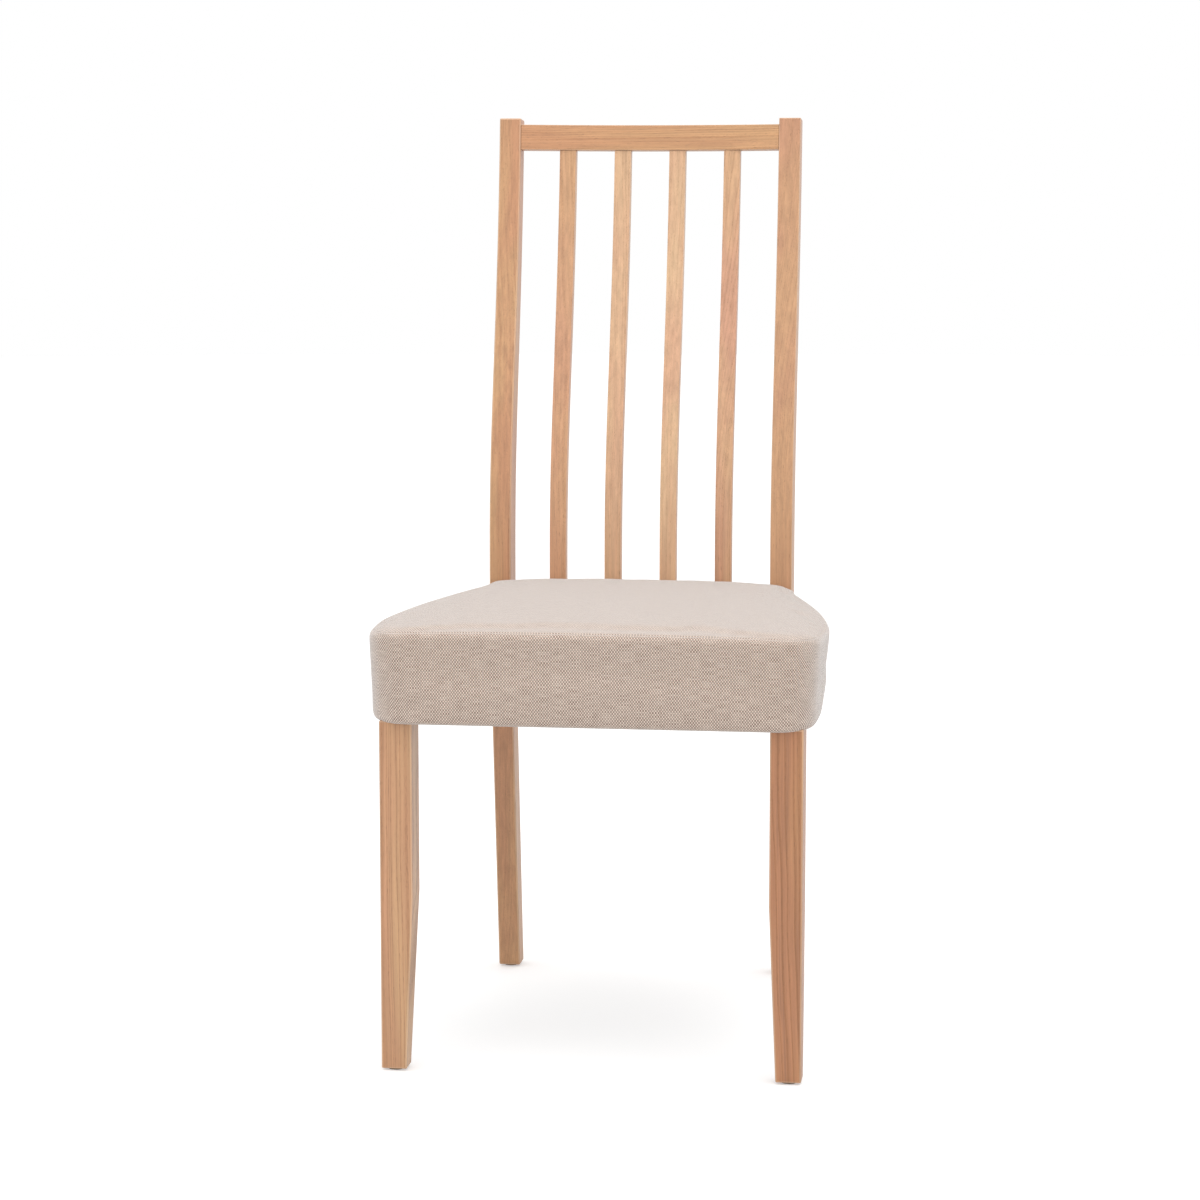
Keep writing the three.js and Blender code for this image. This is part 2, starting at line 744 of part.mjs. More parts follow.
// A glued block notched round the top of the front leg.
function makeFrontBlock() {
  const far = frontRailFace + BLOCK_LENGTH;
  const outline = [
    v2(blockCorner - BLOCK_LENGTH, frontRailFace),
    v2(legInner - FIT, frontRailFace),
    v2(legInner - FIT, LEG_DEPTH + FIT),
    v2(legOuter, LEG_DEPTH + FIT),
    v2(legOuter, far),
    v2(blockCorner, far),
  ];
  return [beyondSideRail(), ...screwHoles.frontBlock].reduce(
    (block, cut) => block.subtract(cut),
    solid(raised(outline, blockBottom, blockTop)),
  );
}

function makeRearBlock() {
  const near = rearRailFace - BLOCK_LENGTH;
  const outline = [
    v2(rearCorner - BLOCK_LENGTH, rearRailFace),
    v2(railInner(near) - FIT, near),
    v2(legOuter, near),
    v2(legOuter, rearRailFace),
  ];
  return [beyondSideRail(), ...screwHoles.rearBlock].reduce(
    (block, cut) => block.subtract(cut),
    solid(raised(outline, blockBottom, blockTop)),
  );
}

// ------------------------------------------------------------------ deck, foam, covers

function makeDeck() {
  const body = solid(raised(frameOutline(0), railTop + FIT, deckTop));
  return screwHoles.deck.reduce((deck, hole) => deck.subtract(hole), body);
}

// The sides of the upholstery draw in towards its underside.
function drawnIn(geometry) {
  const position = geometry.attributes.position;
  const half = legOuter + SIDE_PADDING;
  for (let i = 0; i < position.count; i++) {
    const depth = (SEAT_TOP - position.getZ(i)) / (SEAT_TOP - SEAT_UNDERSIDE);
    position.setX(i, position.getX(i) * (1 - (SIDE_DRAW / half) * depth));
  }
  return geometry;
}

// A solid with the cover's plan, inset, from z = low up to a top edge rounded by a radius.
function padded(inset, low, high, edge) {
  const drop = edge + 1;
  const geometry = extrude(coverOutline(inset), high - low + drop - edge, {
    bevelEnabled: true,
    bevelThickness: edge,
    bevelSize: edge,
    bevelOffset: -edge,
    bevelSegments: 3,
  });
  geometry.translate(0, 0, low - drop);
  const kept = box(-FRONT_WIDTH, FRONT_WIDTH, -HEIGHT, HEIGHT, low, high + 1);
  return solid(drawnIn(geometry)).intersect(solid(kept));
}

const bothHoles = boltHoles.flatMap((hole) => [hole, hole.mirror([1, 0, 0])]);

// One foam moulding: a thick top with thin skirts down over the frame.
function makeFoam() {
  const inset = COVER_THICKNESS + FIT;
  const low = railBottom + FOAM_SKIRT_RISE;
  const outer = padded(inset, low, SEAT_TOP - inset, COVER_EDGE - inset);
  const frame = solid(raised(frameOutline(FIT), railBottom - 1, deckTop + FIT));
  return bothHoles.reduce((foam, hole) => foam.subtract(hole), outer.subtract(frame));
}

const legHoles = [-1, 1].map((side) => {
  const edges = [side * (legInner - FIT), side * (legOuter + FIT)].sort((a, b) => a - b);
  return solid(box(...edges, -FIT, LEG_DEPTH + FIT, 0, railTop));
});

// The upholstery cover: one skin over the foam, turned in under the rails.
function makeCover() {
  const outer = padded(0, SEAT_UNDERSIDE, SEAT_TOP, COVER_EDGE);
  const hollow = padded(
    COVER_THICKNESS,
    SEAT_UNDERSIDE + COVER_THICKNESS,
    SEAT_TOP - COVER_THICKNESS,
    COVER_EDGE - COVER_THICKNESS,
  );
  const opening = solid(raised(frameOutline(-COVER_LIP), 0, railBottom));
  return [hollow, opening, ...legHoles, ...bothHoles].reduce((a, b) => a.subtract(b), outer);
}

// Black cloth that closes the underside inside the cover's turned-in edge.
function makeDustCover() {
  const high = SEAT_UNDERSIDE + COVER_THICKNESS;
  const cloth = solid(raised(frameOutline(-COVER_LIP - FIT), high - DUST_COVER_THICKNESS, high));
  return legHoles.reduce((sheet, hole) => sheet.subtract(hole), cloth);
}

// ------------------------------------------------------------------ bolts, nuts, screws, glides

// The bolt's seat is at z = 0, with its shank below and its socket head above.
function makeBolt() {
  const shank = boltSeat - boltTip;
  return turned(
    [
      v2(0, -shank),
      v2(BOLT_RADIUS, -shank),
      v2(BOLT_RADIUS, FIT),
      v2(BOLT_HEAD_RADIUS, FIT),
      v2(BOLT_HEAD_RADIUS, BOLT_HEAD_THICKNESS),
      v2(BOLT_SOCKET_RADIUS, BOLT_HEAD_THICKNESS),
      v2(BOLT_SOCKET_RADIUS, BOLT_HEAD_THICKNESS - BOLT_SOCKET_DEPTH),
      v2(0, BOLT_HEAD_THICKNESS - BOLT_SOCKET_DEPTH),
    ],
    12,
  );
}

// The barrel nut lies along X, cross-drilled where the bolt meets it.
function makeNut() {
  const half = NUT_LENGTH / 2;
  const hole = boltX - nutX;
  const barrel = solid(rod(NUT_RADIUS, [-half, 0, 0], [half, 0, 0], 14));
  const bore = rod(BOLT_RADIUS + FIT, [hole, -2 * NUT_RADIUS, 0], [hole, 2 * NUT_RADIUS, 0], 12);
  return geometryOf(barrel.subtract(solid(bore)));
}

function makeGlide() {
  const crown = 1; // the pin's short point
  return turned(
    [
      v2(0, 0),
      v2(GLIDE_RADIUS, 0),
      v2(GLIDE_RADIUS, GLIDE_THICKNESS),
      v2(GLIDE_PIN_RADIUS, GLIDE_THICKNESS),
      v2(GLIDE_PIN_RADIUS, GLIDE_THICKNESS + GLIDE_PIN_LENGTH - crown),
      v2(0, GLIDE_THICKNESS + GLIDE_PIN_LENGTH),
    ],
    16,
  );
}

// ------------------------------------------------------------------ materials

const finish = (color, roughness, metalness = 0) =>
  new THREE.MeshStandardMaterial({ color, roughness, metalness });

const oak = finish(0xcfa074, 0.5);
const beech = finish(0xd9b98c, 0.6);
const plywood = finish(0xc9a878, 0.7);
const foamWhite = finish(0xf0e9d2, 0.95);
const wovenFabric = finish(0xc9bba9, 0.92);
const blackCloth = finish(0x1d1d1f, 0.9);
const zincSteel = finish(0xb9bcc0, 0.35, 0.9);
const nylon = finish(0x8a7760, 0.5);

// ------------------------------------------------------------------ assembly

function named(name, geometry, material) {
  const mesh = new THREE.Mesh(geometry, material);
  mesh.name = name;
  return mesh;
}

// A right-hand piece and its mirror image.
function addPair(group, name, geometry, material, place = () => {}) {
  for (const [side, sign] of [["right", 1], ["left", -1]]) {
    const mesh = named(`${name}_${side}`, geometry, material);
    place(mesh);
    const half = new THREE.Group();
    half.scale.x = sign;
    half.add(mesh);
    group.add(half);
  }
}

const backAssembly = new THREE.Group();
addPair(backAssembly, "back_post", geometryOf(makePost()), oak);
backAssembly.add(named("crest_rail", geometryOf(makeCrestRail()), oak));
backAssembly.add(named("lower_back_rail", geometryOf(makeLowerRail()), oak));
for (let i = 0; i < SLAT_COUNT; i++) {
  backAssembly.add(named(`back_slat_${i + 1}`, geometryOf(makeSlat(i)), oak));
}

const seatFrame = new THREE.Group();
addPair(seatFrame, "front_leg", geometryOf(makeFrontLeg()), oak);
seatFrame.add(named("front_seat_rail", geometryOf(makeFrontRail()), beech));
seatFrame.add(named("rear_seat_rail", geometryOf(makeRearRail()), beech));
addPair(seatFrame, "side_seat_rail", geometryOf(makeSideRail()), beech);
addPair(seatFrame, "front_corner_block", geometryOf(makeFrontBlock()), beech);
addPair(seatFrame, "rear_corner_block", geometryOf(makeRearBlock()), beech);
seatFrame.add(named("seat_deck", geometryOf(makeDeck()), plywood));

const upholstery = new THREE.Group();
upholstery.add(named("seat_foam", geometryOf(makeFoam()), foamWhite));
upholstery.add(named("seat_cover", geometryOf(makeCover()), wovenFabric));
upholstery.add(named("dust_cover", geometryOf(makeDustCover()), blackCloth));

const hardware = new THREE.Group();
const boltGeometry = makeBolt().rotateX(-Math.PI / 2);
const nutGeometry = makeNut();
["lower", "upper"].forEach((level, i) => {
  addPair(hardware, `post_bolt_${level}`, boltGeometry, zincSteel, (bolt) => {
    bolt.position.set(boltX, boltSeat, boltHeights[i]);
  });
  addPair(hardware, `barrel_nut_${level}`, nutGeometry, zincSteel, (nut) => {
    nut.position.set(nutX, nutY, boltHeights[i]);
  });
});

for (const screw of screws) {
  const geometry = turned(screwProfile(screw.length, 0), SCREW_SIDES);
  addPair(hardware, screw.name, geometry, zincSteel, (mesh) => placeScrew(mesh, screw));
}

const glideGeometry = makeGlide();
addPair(hardware, "front_glide", glideGeometry, nylon, (glide) => {
  glide.position.set(legOuter - LEG_FOOT_WIDTH / 2, LEG_FOOT_DEPTH / 2, 0);
});
addPair(hardware, "rear_glide", glideGeometry, nylon, (glide) => {
  glide.position.set((postInner + postOuter) / 2, footMiddle, 0);
});

const built = new THREE.Group();
built.add(backAssembly, seatFrame, upholstery, hardware);
const extent = new THREE.Box3().setFromObject(built, true);
built.position.y = -extent.getCenter(new THREE.Vector3()).y;

const chair = new THREE.Group();
chair.add(built);

export default chair;
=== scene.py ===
import math

import bmesh
import bpy
import numpy as np
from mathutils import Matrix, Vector, noise


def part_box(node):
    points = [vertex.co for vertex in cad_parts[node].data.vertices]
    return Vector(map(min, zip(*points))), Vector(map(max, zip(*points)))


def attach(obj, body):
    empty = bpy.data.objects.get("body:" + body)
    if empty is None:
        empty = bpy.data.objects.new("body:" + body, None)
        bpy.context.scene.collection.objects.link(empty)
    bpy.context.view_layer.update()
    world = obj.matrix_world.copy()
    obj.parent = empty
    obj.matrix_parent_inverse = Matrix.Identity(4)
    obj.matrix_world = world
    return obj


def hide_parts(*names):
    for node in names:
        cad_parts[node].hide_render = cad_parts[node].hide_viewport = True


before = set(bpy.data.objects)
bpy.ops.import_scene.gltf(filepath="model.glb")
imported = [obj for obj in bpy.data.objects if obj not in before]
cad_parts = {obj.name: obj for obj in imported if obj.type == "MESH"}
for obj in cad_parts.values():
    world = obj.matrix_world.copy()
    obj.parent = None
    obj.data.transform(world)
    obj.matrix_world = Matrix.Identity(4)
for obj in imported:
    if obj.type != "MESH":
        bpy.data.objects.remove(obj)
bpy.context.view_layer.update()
bpy.ops.object.select_all(action="DESELECT")

# ------------------------------------------------------------------ studio
# A plain white floor under soft light from all round, with a large soft box over the chair and
# a smaller one in front of it on the left. The camera stands a little to the right of the
# middle, at the height of the top of the back, and looks slightly down.

CAMERA_PLACE = (0.4904, -3.7711, 0.9801)
CAMERA_LOOK = Vector((-0.13435, 0.98263, -0.12803))
CAMERA_LENS = 100.33  # millimetres, on a sensor 36 wide
CHAIR_MIDDLE = Vector((0, 0, 0.55))
camera_turn = CAMERA_LOOK.to_track_quat("-Z", "Y").to_euler()
bpy.ops.object.camera_add(location=CAMERA_PLACE, rotation=camera_turn)
camera = bpy.context.active_object
camera.data.sensor_width = 36
camera.data.lens = CAMERA_LENS
bpy.context.scene.camera = camera
bpy.context.scene.view_settings.view_transform = "Standard"

world = bpy.data.worlds.new("white room")
world.use_nodes = True
background = world.node_tree.nodes["Background"].inputs
background["Color"].default_value = (1.0, 1.0, 1.0, 1)
background["Strength"].default_value = 1.0
bpy.context.scene.world = world


def soft_box(name, place, size, power):
    """A square soft box that faces the middle of the chair."""
    aim = CHAIR_MIDDLE - Vector(place)
    turn = aim.to_track_quat("-Z", "Y").to_euler()
    bpy.ops.object.light_add(type="AREA", location=place, rotation=turn)
    light = bpy.context.active_object
    light.name = name
    light.data.size = size
    light.data.energy = power


soft_box("top_light", (0.3, -0.6, 3.4), 2.6, 52)
soft_box("front_light", (-2.0, -3.0, 2.6), 1.8, 5)


def shader(name):
    """A material with a Principled shader, and its node tree."""
    material = bpy.data.materials.new(name)
    material.use_nodes = True
    return material, material.node_tree


def join_up(tree, made, inputs):
    """Sets each input of a node to a value, or joins it to another node's output."""
    for key, value in inputs.items():
        if isinstance(value, bpy.types.NodeSocket):
            tree.links.new(value, made.inputs[key])
        else:
            made.inputs[key].default_value = value


def node(tree, kind, inputs, **settings):
    """A new node with its settings and inputs."""
    made = tree.nodes.new(kind)
    for setting, value in settings.items():
        setattr(made, setting, value)
    join_up(tree, made, inputs)
    return made


def blend(tree, factor, first, second, kind="MIX"):
    """Two colours mixed. The colour sockets of a Mix node are inputs 6 and 7 and output 2."""
    inputs = {0: factor, 6: first, 7: second}
    settings = {"data_type": "RGBA", "blend_type": kind}
    return node(tree, "ShaderNodeMix", inputs, **settings).outputs[2]


def cloudy(tree, vector, scale, detail=2.0, roughness=0.5):
    """Noise from 0 to 1 on a vector, at a number of patches in a metre."""
    inputs = {"Vector": vector, "Scale": scale, "Detail": detail, "Roughness": roughness}
    return node(tree, "ShaderNodeTexNoise", inputs).outputs["Fac"]


FLOOR_RADIUS = 14
FLOOR_GLOW = 0.08  # the light that the floor gives off by itself
FLOOR_GLOW_SEEN = 0.40  # and the light that the camera sees it give off
bpy.ops.mesh.primitive_circle_add(vertices=96, radius=FLOOR_RADIUS, fill_type="NGON", location=(0, 0, 0))
floor = bpy.context.active_object
floor.name = "floor"
paint, tree = shader("white floor")
smudge = cloudy(tree, tree.nodes.new("ShaderNodeTexCoord").outputs["Object"], 3.0)
painted = blend(tree, smudge, (0.69, 0.69, 0.69, 1), (0.72, 0.72, 0.72, 1))
surface = tree.nodes["Principled BSDF"].inputs
tree.links.new(painted, surface["Base Color"])
surface["Roughness"].default_value = 0.7
surface["Specular IOR Level"].default_value = 0.2
surface["Emission Color"].default_value = (1, 1, 1, 1)
seen = node(tree, "ShaderNodeLightPath", {}).outputs["Is Camera Ray"]
glow_inputs = {"Value": seen, "To Min": FLOOR_GLOW, "To Max": FLOOR_GLOW_SEEN}
glow = node(tree, "ShaderNodeMapRange", glow_inputs)
tree.links.new(glow.outputs["Result"], surface["Emission Strength"])
floor.data.materials.append(paint)

# ------------------------------------------------------------------ back posts
# Each post is one piece of oak from the floor to the top, sawn to its curve and planed, with
# its arrises rounded, and finished in clear satin lacquer. The grain runs straight up the
# board, so the curve cuts slantwise through the growth rings.

ARRIS = 0.0017  # radius of the rounded arrises


def maths(tree, operation, *values):
    """One sum on numbers."""
    return node(tree, "ShaderNodeMath", dict(enumerate(values)), operation=operation).outputs[0]


def scaled(tree, vector, scale):
    """A vector multiplied by three numbers."""
    inputs = {0: vector, 1: scale}
    return node(tree, "ShaderNodeVectorMath", inputs, operation="MULTIPLY").outputs[0]


def stepped(tree, value, low, high, start=0.0, end=1.0):
    """A smooth step of a value from low to high."""
    inputs = {"Value": value, "From Min": low, "From Max": high, "To Min": start, "To Max": end}
    return node(tree, "ShaderNodeMapRange", inputs, interpolation_type="SMOOTHSTEP").outputs["Result"]


def raised(tree, height, distance, strength=1.0):
    """A bump of a height in metres."""
    inputs = {"Height": height, "Distance": distance, "Strength": strength}
    return node(tree, "ShaderNodeBump", inputs).outputs["Normal"]


def new_group(name, inputs, outputs):
    """A shader node group with its sockets, and its input and output nodes."""
    group = bpy.data.node_groups.new(name, "ShaderNodeTree")
    for label, kind in inputs.items():
        group.interface.new_socket(label, in_out="INPUT", socket_type=kind)
    for label, kind in outputs.items():
        group.interface.new_socket(label, in_out="OUTPUT", socket_type=kind)
    return group, group.nodes.new("NodeGroupInput").outputs, group.nodes.new("NodeGroupOutput").inputs


STREAK_BROWN = (0.33, 0.15, 0.075, 1)
PORE_BROWN = (0.23, 0.115, 0.055, 1)
# the colour of the painted highlight along the arrises
ARRIS_HIGHLIGHT = (0.86, 0.66, 0.47, 1)


def oak_grain():
    """Growth rings round a pith along Z, with the pores, fibres, dark streaks and slow changes of
    colour of plain sawn oak, and a painted highlight along the arrises."""
    group, given, out = new_group(
        "oak grain",
        {
            "Wood": "NodeSocketVector",
            "Ring Width": "NodeSocketFloat",
            "Latewood": "NodeSocketColor",
            "Earlywood": "NodeSocketColor",
            "Blush": "NodeSocketColor",
            "Blush Amount": "NodeSocketFloat",
            "Figure": "NodeSocketFloat",
            "Streaks": "NodeSocketFloat",
            "Arris": "NodeSocketFloat",
        },
        {
            "Color": "NodeSocketColor",
            "Roughness": "NodeSocketFloat",
            "Height": "NodeSocketFloat",
        },
    )
    wood = given["Wood"]
    sway_inputs = {"Vector": scaled(group, wood, (18, 18, 3.4)), "Scale": 1, "Detail": 2}
    sway = node(group, "ShaderNodeTexNoise", sway_inputs)
    drift_inputs = {0: sway.outputs["Color"], 1: (0.5, 0.5, 0.5)}
    drift = node(group, "ShaderNodeVectorMath", drift_inputs, operation="SUBTRACT")
    wander = scaled(group, drift.outputs[0], (0.011, 0.011, 0))
    placed = node(group, "ShaderNodeVectorMath", {0: wood, 1: wander}, operation="ADD").outputs[0]
    flat = scaled(group, placed, (1, 1, 0))
    radius = node(group, "ShaderNodeVectorMath", {0: flat}, operation="LENGTH").outputs["Value"]

    # Rings are wide in good years and narrow in poor ones.
    years_inputs = {"W": radius, "Scale": 130, "Detail": 1}
    years = node(group, "ShaderNodeTexNoise", years_inputs, noise_dimensions="1D")
    uneven = maths(group, "MULTIPLY_ADD", years.outputs["Fac"], 0.010, radius)
    ring = maths(group, "FRACT", maths(group, "DIVIDE", uneven, given["Ring Width"]))
    rise = stepped(group, ring, 0.0, 0.09)
    fall = stepped(group, ring, 0.1, 0.62, 1.0, 0.0)
    early = maths(group, "MULTIPLY", rise, fall)
    patchy = stepped(group, cloudy(group, scaled(group, wood, (46, 46, 2.0)), 1), 0.25, 0.7, 0.45, 1.0)
    band = maths(group, "MULTIPLY", maths(group, "MULTIPLY", early, patchy), given["Figure"])

    fibre = cloudy(group, scaled(group, placed, (700, 700, 9)), 1, 3, 0.65)
    strand = cloudy(group, scaled(group, placed, (210, 210, 3.5)), 1, 2)
    speck = cloudy(group, scaled(group, placed, (2300, 2300, 105)), 1, 1)
    porous = stepped(group, early, 0.1, 0.7, 0.3, 1.0)
    pore = maths(group, "MULTIPLY", stepped(group, speck, 0.60, 0.67), porous)
    warm = stepped(group, cloudy(group, scaled(group, wood, (26, 26, 2.3)), 1, 2), 0.36, 0.66)

    blushed = maths(group, "MULTIPLY", warm, given["Blush Amount"])
    ground = blend(group, blushed, given["Latewood"], given["Blush"])
    vein = stepped(group, cloudy(group, scaled(group, placed, (135, 135, 1.5)), 1, 2), 0.54, 0.70)
    veined = blend(group, maths(group, "MULTIPLY", vein, given["Streaks"]), ground, STREAK_BROWN)
    ringed = blend(group, band, veined, given["Earlywood"])
    tone = maths(group, "MULTIPLY_ADD", fibre, 0.34, 0.83)
    tone = maths(group, "MULTIPLY", tone, maths(group, "MULTIPLY_ADD", strand, 0.50, 0.75))
    grey = node(group, "ShaderNodeCombineXYZ", {0: tone, 1: tone, 2: tone}).outputs[0]
    fibred = blend(group, 1.0, ringed, grey, "MULTIPLY")
    pored = blend(group, maths(group, "MULTIPLY", pore, 0.5), fibred, PORE_BROWN)
    # The rounded arrises are painted paler: a painted highlight along the edges.
    highlighted = blend(group, maths(group, "MULTIPLY", given["Arris"], 0.28), pored, ARRIS_HIGHLIGHT)
    group.links.new(highlighted, out["Color"])

    rough = maths(group, "MULTIPLY_ADD", fibre, 0.14, 0.34)
    group.links.new(maths(group, "MULTIPLY_ADD", pore, 0.2, rough), out["Roughness"])
    relief = maths(group, "MULTIPLY_ADD", band, -0.35, maths(group, "MULTIPLY", fibre, 0.4))
    group.links.new(maths(group, "SUBTRACT", relief, pore), out["Height"])
    return group


grain = oak_grain()
HONEY = (0.66, 0.405, 0.222, 1)
STRAW = (0.70, 0.455, 0.262, 1)
TAN = (0.455, 0.232, 0.115, 1)
ROSE = (0.62, 0.335, 0.208, 1)
WHITE = (1, 1, 1)


def oak(
    name,
    pith,
    lean=(0, 0),
    lying=False,
    ring=0.0038,
    late=HONEY,
    early=TAN,
    figure=0.8,
    blush=0.75,
    streaks=0.1,
    tint=WHITE,
):
    """Lacquered oak with its pith at a place in plan, leaning by two small angles. The grain of
    a lying member runs along X, and of any other one up Z."""
    material, tree = shader(name)

    def tinted(colour):
        return tuple(part * share for part, share in zip(colour, tint)) + (1,)

    place = tree.nodes.new("ShaderNodeTexCoord").outputs["Object"]
    turn = (lean[0], lean[1] + (math.radians(90) if lying else 0), 0)
    laid = node(tree, "ShaderNodeMapping", {"Vector": place, "Rotation": turn}).outputs[0]
    shift_inputs = {0: laid, 1: (pith[0], pith[1], 0)}
    shifted = node(tree, "ShaderNodeVectorMath", shift_inputs, operation="SUBTRACT")
    inputs = {
        "Wood": shifted.outputs[0],
        "Ring Width": ring,
        "Latewood": tinted(late),
        "Earlywood": tinted(early),
        "Blush": tinted(ROSE),
        "Blush Amount": blush,
        "Figure": figure,
        "Streaks": streaks,
        "Arris": node(tree, "ShaderNodeAttribute", {}, attribute_name="arris").outputs["Fac"],
    }
    figured = node(tree, "ShaderNodeGroup", {}, node_tree=grain)
    join_up(tree, figured, inputs)
    surface = tree.nodes["Principled BSDF"].inputs
    tree.links.new(figured.outputs["Color"], surface["Base Color"])
    tree.links.new(figured.outputs["Roughness"], surface["Roughness"])
    tree.links.new(raised(tree, figured.outputs["Height"], 0.00012, 0.7), surface["Normal"])
    surface["Coat Weight"].default_value = 0.3
    surface["Coat Roughness"].default_value = 0.32
    return material


def copy_of(node_name, name):
    """A new piece with a CAD node's shape, its loose triangles merged into clean faces."""
    piece = bpy.data.objects.new(name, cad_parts[node_name].data.copy())
    piece.data.materials.clear()
    bpy.context.collection.objects.link(piece)
    bpy.ops.object.select_all(action="DESELECT")
    piece.select_set(True)
    bpy.context.view_layer.objects.active = piece
    bpy.ops.object.mode_set(mode="EDIT")
    bpy.ops.mesh.select_mode(type="EDGE")
    bpy.ops.mesh.select_all(action="SELECT")
    bpy.ops.mesh.customdata_custom_splitnormals_clear()
    bpy.ops.mesh.remove_doubles(threshold=0.00002)
    bpy.ops.mesh.dissolve_limited(angle_limit=math.radians(0.4))
    bpy.ops.object.mode_set(mode="OBJECT")
    return piece


def select_arrises(mesh, along=None):
    """Selects the sharp edges that join up with the highest one, so not the rims of mortises and
    holes. Given an axis, only the edges that run along it."""
    start = max(mesh.verts, key=lambda vertex: (round(vertex.co.z, 5), vertex.co.x))
    turned = math.radians(35)
    sharp = {edge for edge in mesh.edges if edge.is_manifold and edge.calc_face_angle() > turned}
    found, queue = set(), [start]
    while queue:
        for edge in queue.pop().link_edges:
            if edge in sharp and edge not in found:
                found.add(edge)
                queue.extend(edge.verts)
    for edge in found:
        run = (edge.verts[1].co - edge.verts[0].co).normalized()
        edge.select_set(along is None or abs(run.dot(along)) > 0.8)


def round_arrises(piece, radius, along=None):
    """Rounds a piece's outer arrises, and marks their narrow strips in the attribute arris."""
    bpy.ops.object.mode_set(mode="EDIT")
    bpy.ops.mesh.select_all(action="DESELECT")
    mesh = bmesh.from_edit_mesh(piece.data)
    select_arrises(mesh, along)
    mesh.select_flush_mode()
    bmesh.update_edit_mesh(piece.data)
    bpy.ops.mesh.bevel(offset=radius, segments=3, affect="EDGES", clamp_overlap=True)
    mesh = bmesh.from_edit_mesh(piece.data)
    mark = mesh.faces.layers.float.new("arris")
    for face in mesh.faces:
        rim = sum(edge.calc_length() for edge in face.edges)
        face[mark] = float(2 * face.calc_area() < 0.8 * radius * rim)
    bmesh.update_edit_mesh(piece.data)
    bpy.ops.object.mode_set(mode="OBJECT")
    bpy.ops.object.shade_smooth_by_angle(angle=math.radians(32))
    weighted = piece.modifiers.new("flat faces", "WEIGHTED_NORMAL")
    weighted.keep_sharp = True
    weighted.weight = 100
    bpy.ops.object.modifier_apply(modifier=weighted.name)


def stands_for(piece, material, slot, *nodes):
    """A finished piece: its material, the CAD nodes it replaces, its slot, which is not used, and its
    body.
    """
    piece.data.materials.append(material)
    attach(piece, "root")
    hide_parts(*nodes)


POST_TINT = (0.81, 0.735, 0.70)
post_wood = {
    "left": oak(
        "oak of the left post",
        (-0.30, 0.16),
        (0.012, -0.010),
        ring=0.0029,
        late=STRAW,
        figure=0.35,
        streaks=0.3,
        tint=(0.785, 0.68, 0.58),
    ),
    "right": oak(
        "oak of the right post",
        (0.33, 0.14),
        (-0.016, 0.014),
        ring=0.0027,
        figure=0.3,
        tint=POST_TINT,
    ),
}
for side, wood in post_wood.items():
    post = copy_of("back_post_" + side, "post_" + side)
    round_arrises(post, ARRIS)
    stands_for(post, wood, "oak", "back_post_" + side)

# ------------------------------------------------------------------ crest rail and lower rail
# Two cross rails are tenoned into the posts: a bowed crest rail cut from a thick board, set
# just below their tops, and a straight rail behind the seat that holds the slats' lower ends.

X_AXIS = Vector((1, 0, 0))
crest = copy_of("crest_rail", "crest_top_rail")
round_arrises(crest, ARRIS, X_AXIS)
crest_wood = oak(
    "oak of the crest rail",
    (-1.16, 0.17),
    (0, 0.01),
    lying=True,
    ring=0.0030,
    late=STRAW,
    figure=0.6,
    tint=(0.85, 0.745, 0.62),
)
stands_for(crest, crest_wood, "oak", "crest_rail")
low_rail = copy_of("lower_back_rail", "low_back_rail")
round_arrises(low_rail, ARRIS, X_AXIS)
low_wood = oak(
    "oak of the lower rail",
    (-0.35, 0.10),
    (0, -0.01),
    lying=True,
    ring=0.0042,
    tint=POST_TINT,
)
stands_for(low_rail, low_wood, "oak", "lower_back_rail")

# ------------------------------------------------------------------ back slats
# Four slats follow the posts' curve and are tenoned into the two rails. They are sawn from
# different boards, so the run of the grain and the colour change from one to the next.

SLAT_TINT = (0.90, 0.875, 0.88)
slat_boards = {
    "back_slat_1": {"pith": (-0.36, 0.16), "ring": 0.0036, "figure": 0.35, "tint": (0.87, 0.81, 0.765)},
    "back_slat_2": {
        "pith": (-0.33, 0.20),
        "ring": 0.0028,
        "late": STRAW,
        "figure": 0.45,
        "blush": 0.5,
        "tint": SLAT_TINT,
    },
    "back_slat_3": {
        "pith": (0.34, 0.19),
        "ring": 0.0030,
        "late": STRAW,
        "figure": 0.35,
        "tint": (0.93, 0.935, 0.94),
    },
    "back_slat_4": {
        "pith": (0.30, 0.09),
        "ring": 0.0040,
        "figure": 0.5,
        "blush": 1.0,
        "streaks": 0.3,
        "tint": SLAT_TINT,
    },
}
Z_AXIS = Vector((0, 0, 1))
for node_name, board in slat_boards.items():
    slat = copy_of(node_name, node_name.replace("back_", "shaped_"))
    round_arrises(slat, ARRIS, Z_AXIS)
    stands_for(slat, oak("oak of " + node_name, **board), "oak", node_name)

# ------------------------------------------------------------------ front legs
# Solid oak legs with straight outer faces, tapered below the knee on their two inner faces.
# The left one shows fine straight stripes, the right one wide rings with dark streaks.

leg_wood = {
    "left": oak(
        "oak of the left leg",
        (-0.62, -0.20),
        (0, 0.004),
        ring=0.0040,
        late=STRAW,
        figure=0.75,
        tint=(0.83, 0.745, 0.66),
    ),
    "right": oak(
        "oak of the right leg",
        (0.165, -0.222),
        (0.012, 0.024),
        ring=0.0052,
        figure=0.9,
        blush=1.0,
        streaks=0.9,
        tint=(0.745, 0.605, 0.465),
    ),
}
for side, wood in leg_wood.items():
    leg = copy_of("front_leg_" + side, "leg_" + side)
    round_arrises(leg, ARRIS)
    stands_for(leg, wood, "oak", "front_leg_" + side)

# ------------------------------------------------------------------ seat cover
# A boxed cover of woven upholstery cloth over one foam moulding: a top panel sewn to a band
# with a plain seam round the top edge. It is pulled down tight and turned in under the rails,
# and cut round the legs. The foam swells it a little, which the cloth simulation works out.

